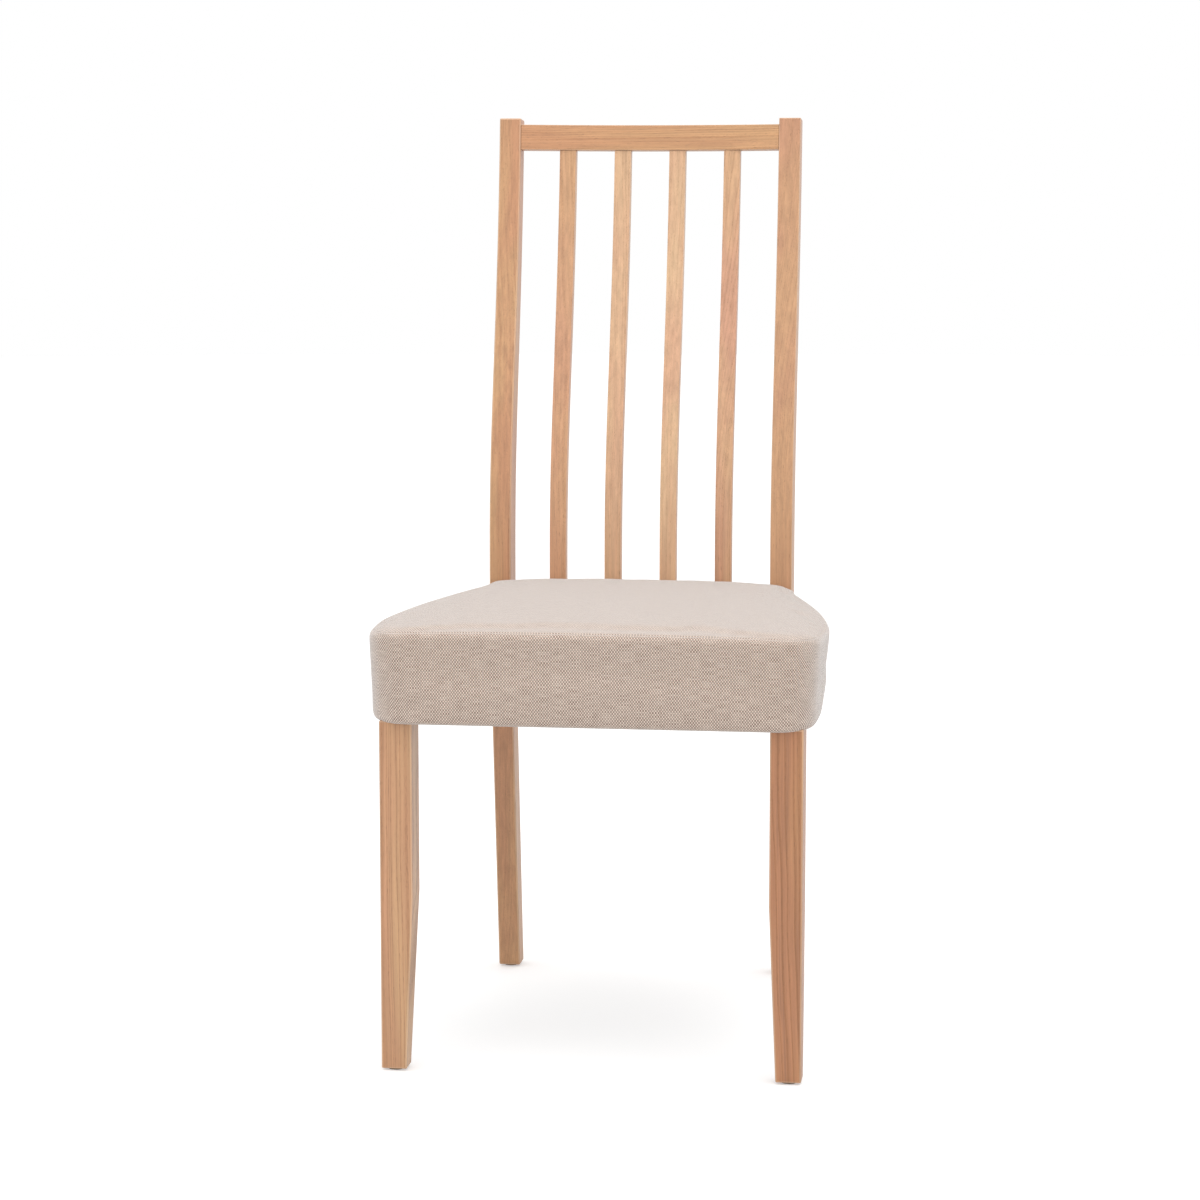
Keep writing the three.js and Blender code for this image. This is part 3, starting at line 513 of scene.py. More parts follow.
cover_low, cover_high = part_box("seat_cover")
post_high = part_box("back_post_right")[1]
leg_low, leg_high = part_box("front_leg_right")
ACROSS = 64  # faces across the top panel
ALONG = 56  # and from front to back
FRONT_CORNER = 0.042  # plan radius of the front corners
REAR_CORNER = 0.014
REAR_OVERHANG = 0.001  # past the posts' outer faces
SIDE_PULL_FRONT = 0.478  # shape of the curved sides, as shares of their length
SIDE_PULL_REAR = 0.12
EDGE_ROLL = 0.0085  # radius of the top edge
SEAM_ANGLE = math.radians(64)  # where the seam lies on that radius
FOOT_ROLL = 0.0035  # radius of the bottom edge at the front and back
FOOT_ROLL_MORE = 0.0055  # and how much more it is at the sides
CROWN = 0.0078  # how far the middle of the foam stands over its edges
EDGE_DROP = 0.0028  # how far the corners of the top lie below the top of its box
ARCH = 0.0034  # how far the front edge rises between its corners
REAR_ARCH = 0.0026  # how much more the rear edge rises
TILT = 0.0010  # how far the sides rise from front to back
FULLNESS = 0.0092  # how far the sides swell beyond their nominal line, at the top
FULL_FROM = 0.03  # the swelling starts here, as a share of the depth from the front
FULL_OVER = 0.3  # it comes in over this share of the depth
FULL_FADE = 0.25  # and loses this share of itself at the back
FULL_SHAPE = 1.4  # how quickly it fades downwards
DRAW = 0.0040  # how far the sides draw in towards the bottom
SWELL = 0.0030  # the most that the foam pushes the cloth out
YIELD = 0.0007  # and the most that the cloth presses the foam in
LIP_LEAST = 0.004  # the turned-in lip is at least this wide
LIP_FLAT = 0.002  # and its flat part at least this
LIP_MOST = 0.045
LIP_STEP = 0.0005
LIP_GAP = 0.0008  # left between the lip and what it meets
LEG_GAP = 0.0006  # left round the legs
LIP_ROWS = 3
WALL_ROWS = 11
CLOTH_THICKNESS = 0.0016
PANEL_SHIFT = (0.6, 1.4)  # keeps the top panel clear of the band on the UV map


def cover_outline():
    """The cover's plan, from the middle of its front right round, as points on the cloth's four
    sides: their ends are half-way round the corners."""
    half = cover_high.x
    rear = post_high.x + REAR_OVERHANG
    front_y = cover_low.y
    rear_y = cover_high.y
    reach = rear_y - front_y

    def corner(centre, radius, start, end, count):
        angles = np.radians(np.linspace(start, end, count))
        return [(centre[0] + radius * math.cos(a), centre[1] + radius * math.sin(a)) for a in angles]

    front_turn = (half - FRONT_CORNER, front_y + FRONT_CORNER)
    rear_turn = (rear - REAR_CORNER, rear_y - REAR_CORNER)
    start = Vector((half, front_turn[1]))
    end = Vector((rear, rear_turn[1]))
    pull_front = Vector((half, front_turn[1] + SIDE_PULL_FRONT * reach))
    pull_rear = Vector((rear, rear_turn[1] - SIDE_PULL_REAR * reach))
    curve = []
    for t in np.linspace(0, 1, 60)[1:-1]:
        first_half = (1 - t) ** 3 * start + 3 * (1 - t) ** 2 * t * pull_front
        curve.append(tuple(first_half + 3 * (1 - t) * t**2 * pull_rear + t**3 * end))
    right = (
        corner(front_turn, FRONT_CORNER, -45, 0, 12)
        + curve
        + corner(rear_turn, REAR_CORNER, 0, 45, 8)
    )
    front_half = [(0, front_y)] + corner(front_turn, FRONT_CORNER, -90, -45, 12)
    rear_half = corner(rear_turn, REAR_CORNER, 45, 90, 8) + [(0, rear_y)]

    def mirrored(points):
        return [(-x, y) for x, y in reversed(points)]

    sides = [
        mirrored(front_half) + front_half[1:],
        right,
        rear_half + mirrored(rear_half)[1:],
        mirrored(right),
    ]
    spaced = []
    for side, count in zip(sides, (ACROSS, ALONG, ACROSS, ALONG)):
        line = np.array(side, float)
        steps = np.linalg.norm(np.diff(line, axis=0), axis=1)
        run = np.concatenate([[0], np.cumsum(steps)])
        even = np.linspace(0, run[-1], count + 1)[:-1]
        spaced.append(np.column_stack([np.interp(even, run, line[:, i]) for i in (0, 1)]))
    return np.concatenate(spaced)


outline = cover_outline()
POINTS = len(outline)
tangent = np.roll(outline, -1, axis=0) - np.roll(outline, 1, axis=0)
tangent /= np.linalg.norm(tangent, axis=1)[:, None]
outward = np.column_stack([tangent[:, 1], -tangent[:, 0]])
lengths = np.linalg.norm(np.roll(outline, -1, axis=0) - outline, axis=1)
around = np.concatenate([[0], np.cumsum(lengths)])
sideways = np.abs(outward[:, 0])
backward = (outline[:, 1] - cover_low.y) / (cover_high.y - cover_low.y)
behind = np.clip((backward - FULL_FROM) / FULL_OVER, 0, 1)
fuller = FULLNESS / cover_high.x * behind**2 * (3 - 2 * behind) * (1 - FULL_FADE * backward)


def ring(inset, height):
    """The outline moved in by an inset at a height, with full sides that draw in towards the
    bottom."""
    inset = np.broadcast_to(inset, POINTS)
    height = np.broadcast_to(height, POINTS)
    plan = outline - outward * inset[:, None]
    depth = np.clip((cover_high.z - height) / (cover_high.z - cover_low.z), 0, 1)
    full = fuller * np.cos(depth * math.pi / 2) ** FULL_SHAPE
    x = plan[:, 0] * (1 - DRAW / cover_high.x * depth + full)
    return np.column_stack([x, plan[:, 1], height])


def lip_reach():
    """How far the turned-in lip runs in from each outline point: to the dust cloth or the leg."""
    dust_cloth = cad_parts["dust_cover"]
    reach = []
    for point, normal in zip(outline, outward):
        distance = LIP_LEAST
        while distance < LIP_MOST:
            x, y = point - normal * distance
            beside_leg = leg_low.x < abs(x) < leg_high.x + LEG_GAP
            in_leg = beside_leg and leg_low.y - LEG_GAP < y < leg_high.y + LEG_GAP
            if in_leg or dust_cloth.ray_cast((x, y, cover_low.z - 0.05), (0, 0, 1))[0]:
                break
            distance += LIP_STEP
        reach.append(distance - LIP_GAP)
    return np.array(reach)


def cover_rows(top):
    """The rings of the cut cloth, from the lip's raw edge up to the seam."""
    bottom = cover_low.z
    turn = FOOT_ROLL + FOOT_ROLL_MORE * sideways
    reach = np.maximum(lip_reach(), turn + LIP_FLAT)
    rows = [ring(reach + (turn - reach) * t, bottom) for t in np.linspace(0, 1, LIP_ROWS + 1)]
    for angle in np.radians([30, 60, 90]):
        rows.append(ring(turn * (1 - math.sin(angle)), bottom + turn * (1 - math.cos(angle))))
    foot = bottom + turn
    head = top - EDGE_ROLL
    for t in np.linspace(0, 1, WALL_ROWS + 1)[1:]:
        rows.append(ring(0, foot + (head - foot) * t))
    for angle in np.linspace(0, SEAM_ANGLE, 4)[1:]:
        rows.append(ring(EDGE_ROLL * (1 - math.cos(angle)), head + EDGE_ROLL * math.sin(angle)))
    return rows


def inner_grid(edge):
    """The top panel's points inside its edge, spread evenly between its four sides."""
    front = edge[: ACROSS + 1]
    right = edge[ACROSS : ACROSS + ALONG + 1]
    rear = edge[ACROSS + ALONG : 2 * ACROSS + ALONG + 1][::-1]
    left = np.concatenate([edge[2 * ACROSS + ALONG :], edge[:1]])[::-1]
    grid = np.zeros((ALONG - 1, ACROSS - 1, 3))
    for j in range(1, ALONG):
        v = j / ALONG
        for i in range(1, ACROSS):
            u = i / ACROSS
            sides = (1 - v) * front[i] + v * rear[i] + (1 - u) * left[j] + u * right[j]
            front_ends = (1 - u) * (1 - v) * front[0] + u * (1 - v) * front[-1]
            corners = front_ends + (1 - u) * v * rear[0] + u * v * rear[-1]
            grid[j - 1, i - 1] = sides - corners
            grid[j - 1, i - 1, 2] += CROWN * math.sqrt(math.sin(math.pi * u) * math.sin(math.pi * v))
    return grid


def cover_mesh(name, rows, grid):
    """A mesh of the rings and the panel inside the last of them. Its UV map runs in metres: round
    and up the band, and across and along the top panel."""
    points = np.concatenate([*rows, grid.reshape(-1, 3)])
    climb = [0.0]
    for low, high in zip(rows, rows[1:]):
        climb.append(climb[-1] + float(np.median(np.linalg.norm(high - low, axis=1))))
    faces, places = [], []
    for r in range(len(rows) - 1):
        for j in range(POINTS):
            k = (j + 1) % POINTS
            faces.append((r * POINTS + j, r * POINTS + k, (r + 1) * POINTS + k, (r + 1) * POINTS + j))
            u, w = around[j], around[j + 1]
            places += [(u, climb[r]), (w, climb[r]), (w, climb[r + 1]), (u, climb[r + 1])]
    last = (len(rows) - 1) * POINTS
    inside = len(rows) * POINTS

    def panel_point(i, j):
        if j == 0:
            return last + i
        if i == ACROSS:
            return last + ACROSS + j
        if j == ALONG:
            return last + ACROSS + ALONG + (ACROSS - i)
        if i == 0:
            return last + 2 * ACROSS + ALONG + (ALONG - j)
        return inside + (j - 1) * (ACROSS - 1) + i - 1

    for j in range(ALONG):
        for i in range(ACROSS):
            around_face = ((i, j), (i + 1, j), (i + 1, j + 1), (i, j + 1))
            face = tuple(panel_point(a, b) for a, b in around_face)
            faces.append(face)
            places += [(points[p][0] + PANEL_SHIFT[0], points[p][1] + PANEL_SHIFT[1]) for p in face]
    mesh = bpy.data.meshes.new(name)
    mesh.from_pydata(points.tolist(), [], faces)
    mesh.uv_layers.new(name="cloth")
    mesh.uv_layers["cloth"].data.foreach_set("uv", np.array(places).ravel())
    mesh.update()
    piece = bpy.data.objects.new(name, mesh)
    bpy.context.collection.objects.link(piece)
    bpy.ops.object.select_all(action="DESELECT")
    piece.select_set(True)
    bpy.context.view_layer.objects.active = piece
    return piece


def swollen(piece, held):
    """The points of the cover after the foam has pressed it out, with its held rows pinned."""
    pinned = piece.vertex_groups.new(name="held")
    pinned.add(list(range(held)), 1.0, "REPLACE")
    cloth = piece.modifiers.new("swell", "CLOTH")
    cloth.settings.quality = 6
    cloth.settings.mass = 0.35
    cloth.settings.tension_stiffness = 22
    cloth.settings.compression_stiffness = 22
    cloth.settings.shear_stiffness = 9
    cloth.settings.bending_stiffness = 1.2
    cloth.settings.use_pressure = True
    cloth.settings.uniform_pressure_force = 4
    cloth.settings.effector_weights.gravity = 0
    cloth.settings.vertex_group_mass = "held"
    cloth.point_cache.frame_start = 1
    cloth.point_cache.frame_end = 20
    for moment in range(1, 21):
        bpy.context.scene.frame_set(moment)
    bpy.ops.object.modifier_apply(modifier=cloth.name)
    bpy.context.scene.frame_set(1)
    points = np.zeros(len(piece.data.vertices) * 3)
    piece.data.vertices.foreach_get("co", points)
    return points.reshape(-1, 3)


half_width = cover_high.x + (post_high.x - cover_high.x) * backward**2
off_middle = np.minimum(np.abs(outline[:, 0]) / half_width, 1)
arch = (ARCH + REAR_ARCH * backward) * (1 - off_middle**3)
rows = cover_rows(cover_high.z - EDGE_DROP + arch + TILT * backward)
grid = inner_grid(rows[-1])
draft = cover_mesh("cover_draft", rows, grid)
rest = np.concatenate([*rows, grid.reshape(-1, 3)])
held_rows = LIP_ROWS + 3
facing = np.array([vertex.normal[:] for vertex in draft.data.vertices])
filled = swollen(draft, held_rows * POINTS)
bpy.data.objects.remove(draft)

# The foam is firm, so it gives way to the cloth only so far.
push = filled - rest
out = (push * facing).sum(axis=1)
slide = push - out[:, None] * facing
limit = np.where(out > 0, SWELL, YIELD)
out = limit * np.tanh(out / limit)
slid = np.linalg.norm(slide, axis=1)[:, None]
slide *= YIELD * np.tanh(slid / YIELD) / np.maximum(slid, 1e-9)
filled = rest + out[:, None] * facing + slide
filled[:, 1] = np.minimum(filled[:, 1], cover_high.y)

# The seam pulls a fine groove round the top.
SEAM_HALF = 0.0011  # half its width
SEAM_DEPTH = 0.0010
SEAM_RISE = 0.35  # how steeply the panel rises just inside it
rows = [filled[i * POINTS : (i + 1) * POINTS] for i in range(len(rows))]
grid = filled[len(rows) * POINTS :].reshape(ALONG - 1, ACROSS - 1, 3)
seam = rows[-1]
below = seam + (rows[-2] - seam) * SEAM_HALF / np.linalg.norm(rows[-2] - seam, axis=1)[:, None]
toward = np.column_stack([-outward, np.full(POINTS, SEAM_RISE)])
above = seam + toward / np.linalg.norm(toward, axis=1)[:, None] * SEAM_HALF
bulge = np.column_stack([outward * math.cos(SEAM_ANGLE), np.full(POINTS, math.sin(SEAM_ANGLE))])
sunk = seam - bulge * SEAM_DEPTH
cover = cover_mesh("cover", rows[:-1] + [below, sunk, above], grid)

smooth = cover.modifiers.new("smooth", "SUBSURF")
smooth.levels = 1
smooth.render_levels = 1
bpy.ops.object.modifier_apply(modifier=smooth.name)
cloth_wall = cover.modifiers.new("cloth", "SOLIDIFY")
cloth_wall.thickness = CLOTH_THICKNESS
cloth_wall.offset = -1
bpy.ops.object.modifier_apply(modifier=cloth_wall.name)
bpy.ops.object.shade_smooth()


def woven():
    """A plain weave of thick two-colour yarns, with slubs along the weft. Its vector is in metres
    on the cloth, and the height is 0 in the gaps and 1 on the crowns of the yarns."""
    group, given, out = new_group(
        "woven yarns",
        {
            "Cloth": "NodeSocketVector",
            "Warp Pitch": "NodeSocketFloat",
            "Weft Pitch": "NodeSocketFloat",
            "Warp": "NodeSocketColor",
            "Weft": "NodeSocketColor",
            "Gap": "NodeSocketColor",
        },
        {
            "Color": "NodeSocketColor",
            "Height": "NodeSocketFloat",
        },
    )
    wave = node(group, "ShaderNodeTexNoise", {"Vector": given["Cloth"], "Scale": 95, "Detail": 2})
    shake_inputs = {0: wave.outputs["Color"], 1: (0.5, 0.5, 0.5)}
    shake = node(group, "ShaderNodeVectorMath", shake_inputs, operation="SUBTRACT")
    shaken = scaled(group, shake.outputs[0], (0.0011, 0.0011, 0))
    cloth = node(group, "ShaderNodeVectorMath", {0: given["Cloth"], 1: shaken}, operation="ADD").outputs[0]
    parts = node(group, "ShaderNodeSeparateXYZ", {0: cloth}).outputs
    ends = maths(group, "DIVIDE", parts[0], given["Warp Pitch"])
    picks = maths(group, "DIVIDE", parts[1], given["Weft Pitch"])
    end = maths(group, "FLOOR", ends)
    pick = maths(group, "FLOOR", picks)
    check = maths(group, "FLOORED_MODULO", maths(group, "ADD", end, pick), 2.0)
    warp_on_top = maths(group, "GREATER_THAN", check, 0.5)
    across = maths(group, "SINE", maths(group, "MULTIPLY", maths(group, "FRACT", ends), math.pi))
    along = maths(group, "SINE", maths(group, "MULTIPLY", maths(group, "FRACT", picks), math.pi))
    upright = maths(group, "MULTIPLY", across, maths(group, "MULTIPLY_ADD", along, 0.45, 0.55))
    level = maths(group, "MULTIPLY", along, maths(group, "MULTIPLY_ADD", across, 0.45, 0.55))
    crown = node(group, "ShaderNodeMix", {"Factor": warp_on_top, "A": level, "B": upright}).outputs[0]

    slub_run = maths(group, "MULTIPLY", parts[0], 56)
    slub_place = node(group, "ShaderNodeCombineXYZ", {0: slub_run, 1: pick})
    slub = stepped(group, cloudy(group, slub_place.outputs[0], 1, 2), 0.3, 0.72)
    thick_run = maths(group, "MULTIPLY", parts[1], 36)
    end_place = node(group, "ShaderNodeCombineXYZ", {0: end, 1: thick_run})
    thick = stepped(group, cloudy(group, end_place.outputs[0], 1, 2), 0.3, 0.7)
    weft = blend(group, maths(group, "MULTIPLY", slub, 0.42), given["Weft"], given["Warp"])
    warp = blend(group, maths(group, "MULTIPLY", thick, 0.12), given["Warp"], given["Weft"])
    yarn = blend(group, warp_on_top, weft, warp)
    # The gaps between the yarns are painted darker: painted shade in the recesses of the weave.
    deep = stepped(group, crown, 0.0, 0.5)
    coloured = blend(group, deep, given["Gap"], yarn)
    fuzz = cloudy(group, given["Cloth"], 2600, 2)
    tone = maths(group, "MULTIPLY_ADD", fuzz, 0.24, 0.88)
    grey = node(group, "ShaderNodeCombineXYZ", {0: tone, 1: tone, 2: tone}).outputs[0]
    group.links.new(blend(group, 1.0, coloured, grey, "MULTIPLY"), out["Color"])
    swell = maths(group, "MULTIPLY_ADD", slub, 0.25, crown)
    group.links.new(maths(group, "MULTIPLY_ADD", fuzz, 0.12, swell), out["Height"])
    return group


weave = woven()
WARP_PITCH = 0.00152
WEFT_PITCH = 0.00188


def upholstery(name, warp, weft, gap):
    """Woven cloth with a soft nap that whitens where it is seen edge on."""
    material, tree = shader(name)
    cloth = node(tree, "ShaderNodeUVMap", {}, uv_map="cloth").outputs[0]
    yarns = node(tree, "ShaderNodeGroup", {}, node_tree=weave)
    inputs = {
        "Cloth": cloth,
        "Warp Pitch": WARP_PITCH,
        "Weft Pitch": WEFT_PITCH,
        "Warp": warp,
        "Weft": weft,
        "Gap": gap,
    }
    join_up(tree, yarns, inputs)
    surface = tree.nodes["Principled BSDF"].inputs
    tree.links.new(yarns.outputs["Color"], surface["Base Color"])
    tree.links.new(raised(tree, yarns.outputs["Height"], 0.0004, 0.8), surface["Normal"])
    surface["Roughness"].default_value = 0.85
    surface["Specular IOR Level"].default_value = 0.6
    surface["Sheen Weight"].default_value = 1.0
    surface["Sheen Roughness"].default_value = 0.4
    return material


OFF_WHITE = (0.84, 0.70, 0.597, 1)
TAUPE = (0.215, 0.138, 0.104, 1)
# the colour of the painted shade in the gaps between the yarns
GAP_SHADE = (0.17, 0.11, 0.085, 1)
oatmeal = upholstery("oatmeal cloth", OFF_WHITE, TAUPE, GAP_SHADE)
stands_for(cover, oatmeal, "woven_fabric", "seat_cover")

# ------------------------------------------------------------------ seat foam
# One moulding of pale polyurethane foam fills the cover: a thick top with skirts down over the
# rails. It sits just inside the cloth, pressed in by it all round.

FOAM_PRESS = 0.003  # how far the cloth presses it in
FOAM_SKIN = 0.0025  # its outer face lies at most this far inside the cloth's outline
FOAM_TOP = 0.012  # and its rounded top edge at most this far below the top of the cloth
foam = copy_of("seat_foam", "foam_block")
for vertex in foam.data.vertices:
    depth = (cover_high.z - vertex.co.z) / (cover_high.z - cover_low.z)
    plan = np.array([vertex.co.x / (1 - DRAW / cover_high.x * depth), vertex.co.y])
    nearest = int(np.linalg.norm(outline - plan, axis=1).argmin())
    inside = float((outline[nearest] - plan) @ outward[nearest])
    if inside < FOAM_PRESS + FOAM_SKIN:
        vertex.co.x -= outward[nearest][0] * FOAM_PRESS
        vertex.co.y -= outward[nearest][1] * FOAM_PRESS
    if vertex.co.z > cover_high.z - FOAM_TOP:
        vertex.co.z -= FOAM_PRESS


def soft_edged(piece, width, segments=2):
    """Rounds every sharp edge of a small or hidden piece."""
    rounded = piece.modifiers.new("edges", "BEVEL")
    rounded.width = width
    rounded.segments = segments
    rounded.limit_method = "ANGLE"
    rounded.angle_limit = math.radians(40)
    bpy.ops.object.modifier_apply(modifier=rounded.name)
    bpy.ops.object.shade_smooth_by_angle(angle=math.radians(35))


def foam_cells():
    """Open-celled foam, slightly yellowed."""
    material, tree = shader("cream foam")
    place = tree.nodes.new("ShaderNodeTexCoord").outputs["Object"]
    cell = node(tree, "ShaderNodeTexVoronoi", {"Vector": place, "Scale": 900}).outputs["Distance"]
    tint = cloudy(tree, place, 14)
    surface = tree.nodes["Principled BSDF"].inputs
    base = blend(tree, tint, (0.74, 0.66, 0.45, 1), (0.80, 0.74, 0.56, 1))
    # The hollows of the cells are painted darker: painted shade.
    hollow_shade = stepped(tree, cell, 0.1, 0.5, 0.3, 0.0)
    tree.links.new(blend(tree, hollow_shade, base, (0.4, 0.33, 0.2, 1)), surface["Base Color"])
    tree.links.new(raised(tree, cell, 0.0006), surface["Normal"])
    surface["Roughness"].default_value = 0.95
    return material


soft_edged(foam, 0.002)
stands_for(foam, foam_cells(), "foam", "seat_foam")

# ------------------------------------------------------------------ dust cloth
# Black spun cloth closes the underside inside the turned-in edge of the cover. It is stapled to
# the rails all round and hangs a little slack between them.

SHEET_CELL = 0.011  # its faces are at most this long
SHEET_SAG = 0.0035
CREASE = 0.0012
FINE_CREASE = 0.0004
SHEET_THICKNESS = 0.0004
dust_low, dust_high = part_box("dust_cover")
dust = copy_of("dust_cover", "dust_sheet")
bpy.ops.object.mode_set(mode="EDIT")
bpy.ops.mesh.select_mode(type="FACE")
bpy.ops.mesh.select_all(action="DESELECT")
mesh = bmesh.from_edit_mesh(dust.data)
for face in mesh.faces:
    face.select_set(face.normal.z > -0.9)
bmesh.update_edit_mesh(dust.data)
bpy.ops.mesh.delete(type="FACE")
for axis in (0, 1):
    count = int((dust_high[axis] - dust_low[axis]) / SHEET_CELL)
    for cut in range(1, count):
        place = Vector((0, 0, 0))
        place[axis] = dust_low[axis] + (dust_high[axis] - dust_low[axis]) * cut / count
        bpy.ops.mesh.select_all(action="SELECT")
        bpy.ops.mesh.bisect(plane_co=place, plane_no=Vector((axis == 0, axis == 1, 0)))
bpy.ops.mesh.select_all(action="SELECT")
bpy.ops.mesh.remove_doubles(threshold=0.0002)
bpy.ops.object.mode_set(mode="OBJECT")
middle_y = (dust_low.y + dust_high.y) / 2
for vertex in dust.data.vertices:
    x, y, z = vertex.co
    slack_x = max(0, 1 - (x / dust_high.x) ** 2)
    slack_y = max(0, 1 - ((y - middle_y) / (dust_high.y - middle_y)) ** 2)
    slack = math.sqrt(slack_x * slack_y)
    crease = noise.noise(Vector((x * 22, y * 9, 3.1))) * CREASE
    crease += noise.noise(Vector((x * 60, y * 70, 0))) * FINE_CREASE
    vertex.co.z = z - SHEET_SAG * slack + crease * min(1, 4 * slack)
sheet_wall = dust.modifiers.new("cloth", "SOLIDIFY")
sheet_wall.thickness = SHEET_THICKNESS
bpy.ops.object.modifier_apply(modifier=sheet_wall.name)
bpy.ops.object.shade_smooth()


def spun_cloth():
    """Black spun-bonded cloth with its grid of small weld points."""
    material, tree = shader("black spun cloth")
    place = tree.nodes.new("ShaderNodeTexCoord").outputs["Object"]
    weld_inputs = {"Vector": place, "Scale": 420, "Randomness": 0.15}
    weld = node(tree, "ShaderNodeTexVoronoi", weld_inputs).outputs["Distance"]
    fibre = cloudy(tree, scaled(tree, place, (900, 340, 400)), 1, 3)
    surface = tree.nodes["Principled BSDF"].inputs
    pressed = stepped(tree, weld, 0.12, 0.32)
    cloth = blend(tree, fibre, (0.012, 0.012, 0.013, 1), (0.045, 0.045, 0.047, 1))
    tree.links.new(blend(tree, pressed, (0.02, 0.02, 0.021, 1), cloth), surface["Base Color"])
    tree.links.new(maths(tree, "MULTIPLY_ADD", pressed, 0.3, 0.55), surface["Roughness"])
    tree.links.new(raised(tree, maths(tree, "ADD", pressed, fibre), 0.0002), surface["Normal"])
    return material


stands_for(dust, spun_cloth(), "dust_cloth", "dust_cover")

# ------------------------------------------------------------------ staples
# Staples of zinc-plated wire hold the dust cloth, side by side along the inner edges of the
# rails. They are driven up through it, so their crowns lie against it from below.

STAPLE_CROWN = 0.010
STAPLE_WIRE = 0.0009
STAPLE_FLAT = 0.6  # the wire's thickness, as a share of its width
STAPLE_DROP = 0.0007  # from the cloth down to the middle of the crown
STAPLE_LEG = 0.0045
STAPLE_STEP = 0.033
STAPLE_INSIDE = 0.0045  # from the edge of the cloth
STAPLE_LEG_SPACE = 0.012  # kept free round the front legs
SIDE_TURN = 0.7  # the outline is a side where it faces sideways by more than this
CORNER_TURN = (0.25, 0.9)  # and a corner, which is left free, between these two
LIP_SIDE = 0.0243  # from the outline in to the edge of the cloth, at the back of the sides
LIP_SIDE_MORE = 0.007  # and how much further at their front
LIP_FRONT = 0.0273
LIP_REAR = 0.0213


def zinc(name, tint):
    """Bright zinc plate, dulled a little in patches."""
    material, tree = shader(name)
    place = tree.nodes.new("ShaderNodeTexCoord").outputs["Object"]
    patch = cloudy(tree, place, 420, 3)
    turned = cloudy(tree, scaled(tree, place, (300, 300, 5200)), 1)
    surface = tree.nodes["Principled BSDF"].inputs
    dull = tuple(0.72 * part for part in tint[:3]) + (1,)
    tree.links.new(blend(tree, patch, dull, tint), surface["Base Color"])
    tree.links.new(maths(tree, "MULTIPLY_ADD", patch, 0.22, 0.24), surface["Roughness"])
    tree.links.new(raised(tree, turned, 0.00004, 0.5), surface["Normal"])
    surface["Metallic"].default_value = 1.0
    return material


def new_staple():
    """One staple at the origin, its crown along X and its two legs up."""
    bpy.ops.object.select_all(action="DESELECT")
    bpy.ops.mesh.primitive_cube_add(size=1)
    made = bpy.context.active_object
    bpy.ops.object.mode_set(mode="EDIT")
    bpy.ops.transform.resize(value=(STAPLE_CROWN, STAPLE_WIRE, STAPLE_WIRE * STAPLE_FLAT))
    for side in (-1, 1):
        place = Vector((side * (STAPLE_CROWN / 2 - STAPLE_WIRE), 0, 0))
        bpy.ops.mesh.select_all(action="SELECT")
        bpy.ops.mesh.bisect(plane_co=place, plane_no=(1, 0, 0))
    bpy.ops.mesh.select_mode(type="FACE")
    bpy.ops.mesh.select_all(action="DESELECT")
    model = bmesh.from_edit_mesh(made.data)
    for face in model.faces:
        at_end = abs(face.calc_center_median().x) > STAPLE_CROWN / 2 - STAPLE_WIRE
        face.select_set(face.normal.z > 0.9 and at_end)
    bmesh.update_edit_mesh(made.data)
    bpy.ops.mesh.extrude_region_move(TRANSFORM_OT_translate={"value": (0, 0, STAPLE_LEG)})
    bpy.ops.object.mode_set(mode="OBJECT")
    soft_edged(made, 0.00015, 1)
    return made


staple = new_staple()
staple_low = dust_low.z - STAPLE_DROP
taken = []
for run in range(POINTS):
    x, y = outline[run]
    front_share = np.clip((cover_high.y - y) / (cover_high.y - cover_low.y), 0, 1)
    beside = LIP_SIDE + LIP_SIDE_MORE * front_share
    before = LIP_FRONT if outward[run][1] < 0 else LIP_REAR
    inset = (beside if sideways[run] > SIDE_TURN else before) + STAPLE_INSIDE
    spot = np.array([x, y]) - outward[run] * inset
    beyond_leg = abs(spot[0]) > leg_low.x - STAPLE_LEG_SPACE
    near_leg = beyond_leg and spot[1] < leg_high.y + STAPLE_LEG_SPACE
    in_corner = CORNER_TURN[0] < sideways[run] < CORNER_TURN[1]
    if near_leg or in_corner:
        continue
    if all(np.linalg.norm(spot - other) > STAPLE_STEP for other, _ in taken):
        taken.append((spot, math.atan2(tangent[run][1], tangent[run][0])))
copies = []
for spot, heading in taken:
    wire = staple.copy()
    wire.data = staple.data.copy()
    bpy.context.collection.objects.link(wire)
    wire.location = (spot[0], spot[1], staple_low)
    wire.rotation_euler.z = heading
    copies.append(wire)
bpy.data.objects.remove(staple)
bpy.ops.object.select_all(action="DESELECT")
for wire in copies:
    wire.select_set(True)
bpy.context.view_layer.objects.active = copies[0]
bpy.ops.object.join()
staples = bpy.context.active_object
staples.name = "staples"
bpy.ops.object.transform_apply(location=True, rotation=True, scale=True)
staples.data.materials.append(zinc("staple wire", (0.62, 0.61, 0.60, 1)))
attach(staples, "root")

# ------------------------------------------------------------------ bolts, nuts and screws
# Two socket-head bolts through each post draw up barrel nuts in the side rails. Countersunk
# screws hold the corner blocks and the deck.

plate = zinc("zinc plate", (0.74, 0.735, 0.72, 1))
for node_name in sorted(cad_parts):
    if node_name.startswith("post_bolt"):
        bolt = copy_of(node_name, node_name.replace("post_bolt", "socket_bolt"))
        soft_edged(bolt, 0.0004)
        stands_for(bolt, plate, "zinc_steel", node_name)
    elif "screw" in node_name or "nut" in node_name:
        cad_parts[node_name].data.materials.clear()
        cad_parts[node_name].data.materials.append(plate)

# ------------------------------------------------------------------ glides
# Glides of moulded brown nylon are tapped into the feet. They let the chair slide, and keep
# the end grain off the floor.


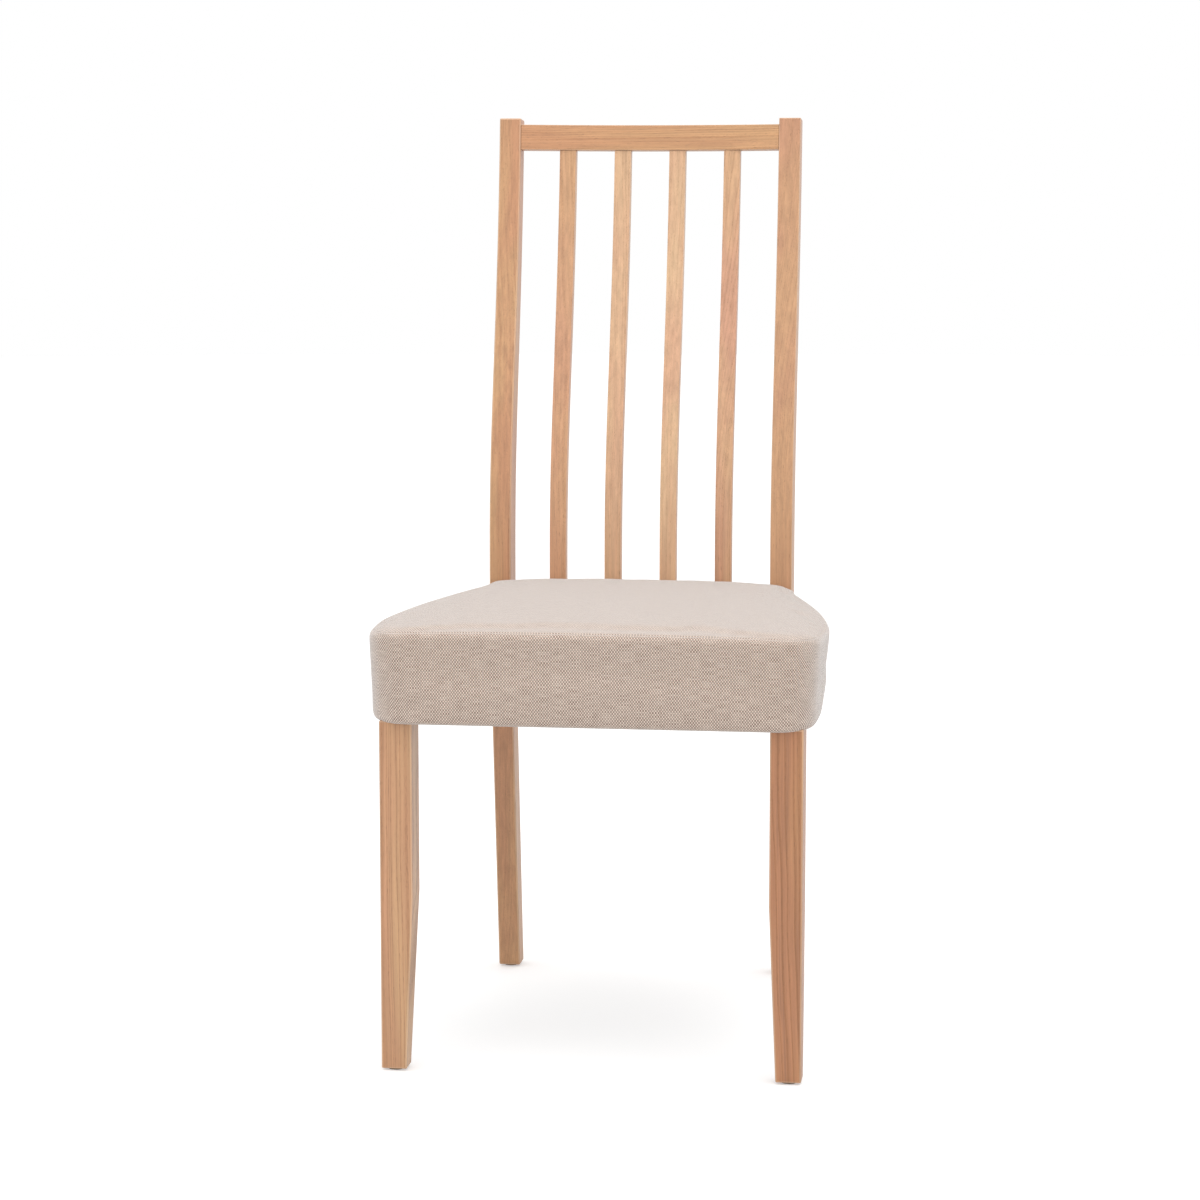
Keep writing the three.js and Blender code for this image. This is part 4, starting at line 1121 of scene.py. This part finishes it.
def nylon():
    """Moulded brown nylon, lightly scuffed."""
    material, tree = shader("brown nylon")
    place = tree.nodes.new("ShaderNodeTexCoord").outputs["Object"]
    scuff = cloudy(tree, place, 700, 4, 0.7)
    surface = tree.nodes["Principled BSDF"].inputs
    moulded = blend(tree, scuff, (0.22, 0.155, 0.095, 1), (0.34, 0.25, 0.165, 1))
    tree.links.new(moulded, surface["Base Color"])
    tree.links.new(maths(tree, "MULTIPLY_ADD", scuff, 0.3, 0.3), surface["Roughness"])
    tree.links.new(raised(tree, scuff, 0.00006, 0.6), surface["Normal"])
    surface["Subsurface Weight"].default_value = 0.1
    return material


brown_nylon = nylon()
for node_name in sorted(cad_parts):
    if "glide" in node_name:
        glide = copy_of(node_name, node_name.replace("glide", "nylon_glide"))
        soft_edged(glide, 0.0005)
        stands_for(glide, brown_nylon, "nylon", node_name)

# ------------------------------------------------------------------ seat frame and deck
# Four tenoned beech rails, a corner block glued and screwed into each of their corners, and a
# plywood deck screwed down on them. The upholstery hides it all.

PALE_BEECH = (0.62, 0.42, 0.27, 1)
DARK_BEECH = (0.5, 0.3, 0.18, 1)


def beech(name, pith, lean=(0, 0), lying=False, coat=0.0):
    """Planed beech: pale, pinkish and almost without figure."""
    made = oak(name, pith, lean, lying, ring=0.0026, late=PALE_BEECH, early=DARK_BEECH, figure=0.4)
    made.node_tree.nodes["Principled BSDF"].inputs["Coat Weight"].default_value = coat
    return made


def plywood():
    """Birch plywood: a rotary-cut face, and thin plies seen at the edges."""
    material, tree = shader("birch plywood")
    place = tree.nodes.new("ShaderNodeTexCoord").outputs["Object"]
    height = node(tree, "ShaderNodeSeparateXYZ", {0: place}).outputs["Z"]
    ply = maths(tree, "PINGPONG", height, 0.0015)
    dark_ply = stepped(tree, ply, 0.0006, 0.0009)
    figure = cloudy(tree, scaled(tree, place, (60, 9, 60)), 1, 3)
    surface = tree.nodes["Principled BSDF"].inputs
    veneer = blend(tree, figure, (0.62, 0.45, 0.28, 1), (0.74, 0.58, 0.40, 1))
    glued = maths(tree, "MULTIPLY", dark_ply, 0.35)
    tree.links.new(blend(tree, glued, veneer, (0.42, 0.27, 0.15, 1)), surface["Base Color"])
    tree.links.new(maths(tree, "MULTIPLY_ADD", figure, 0.2, 0.5), surface["Roughness"])
    tree.links.new(raised(tree, figure, 0.0002, 0.4), surface["Normal"])
    return material


beech_lying = beech("beech across", (-0.2, 0.1), lying=True)
beech_long = beech("beech along", (0.3, -0.2), (math.radians(90), 0), coat=0.3)
inner_wood = {
    "front_seat_rail": beech_lying,
    "rear_seat_rail": beech_lying,
    "side_seat_rail_left": beech_long,
    "side_seat_rail_right": beech_long,
    "front_corner_block_left": beech_lying,
    "front_corner_block_right": beech_lying,
    "rear_corner_block_left": beech_lying,
    "rear_corner_block_right": beech_lying,
    "seat_deck": plywood(),
}
for node_name, wood in inner_wood.items():
    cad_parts[node_name].data.materials.clear()
    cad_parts[node_name].data.materials.append(wood)
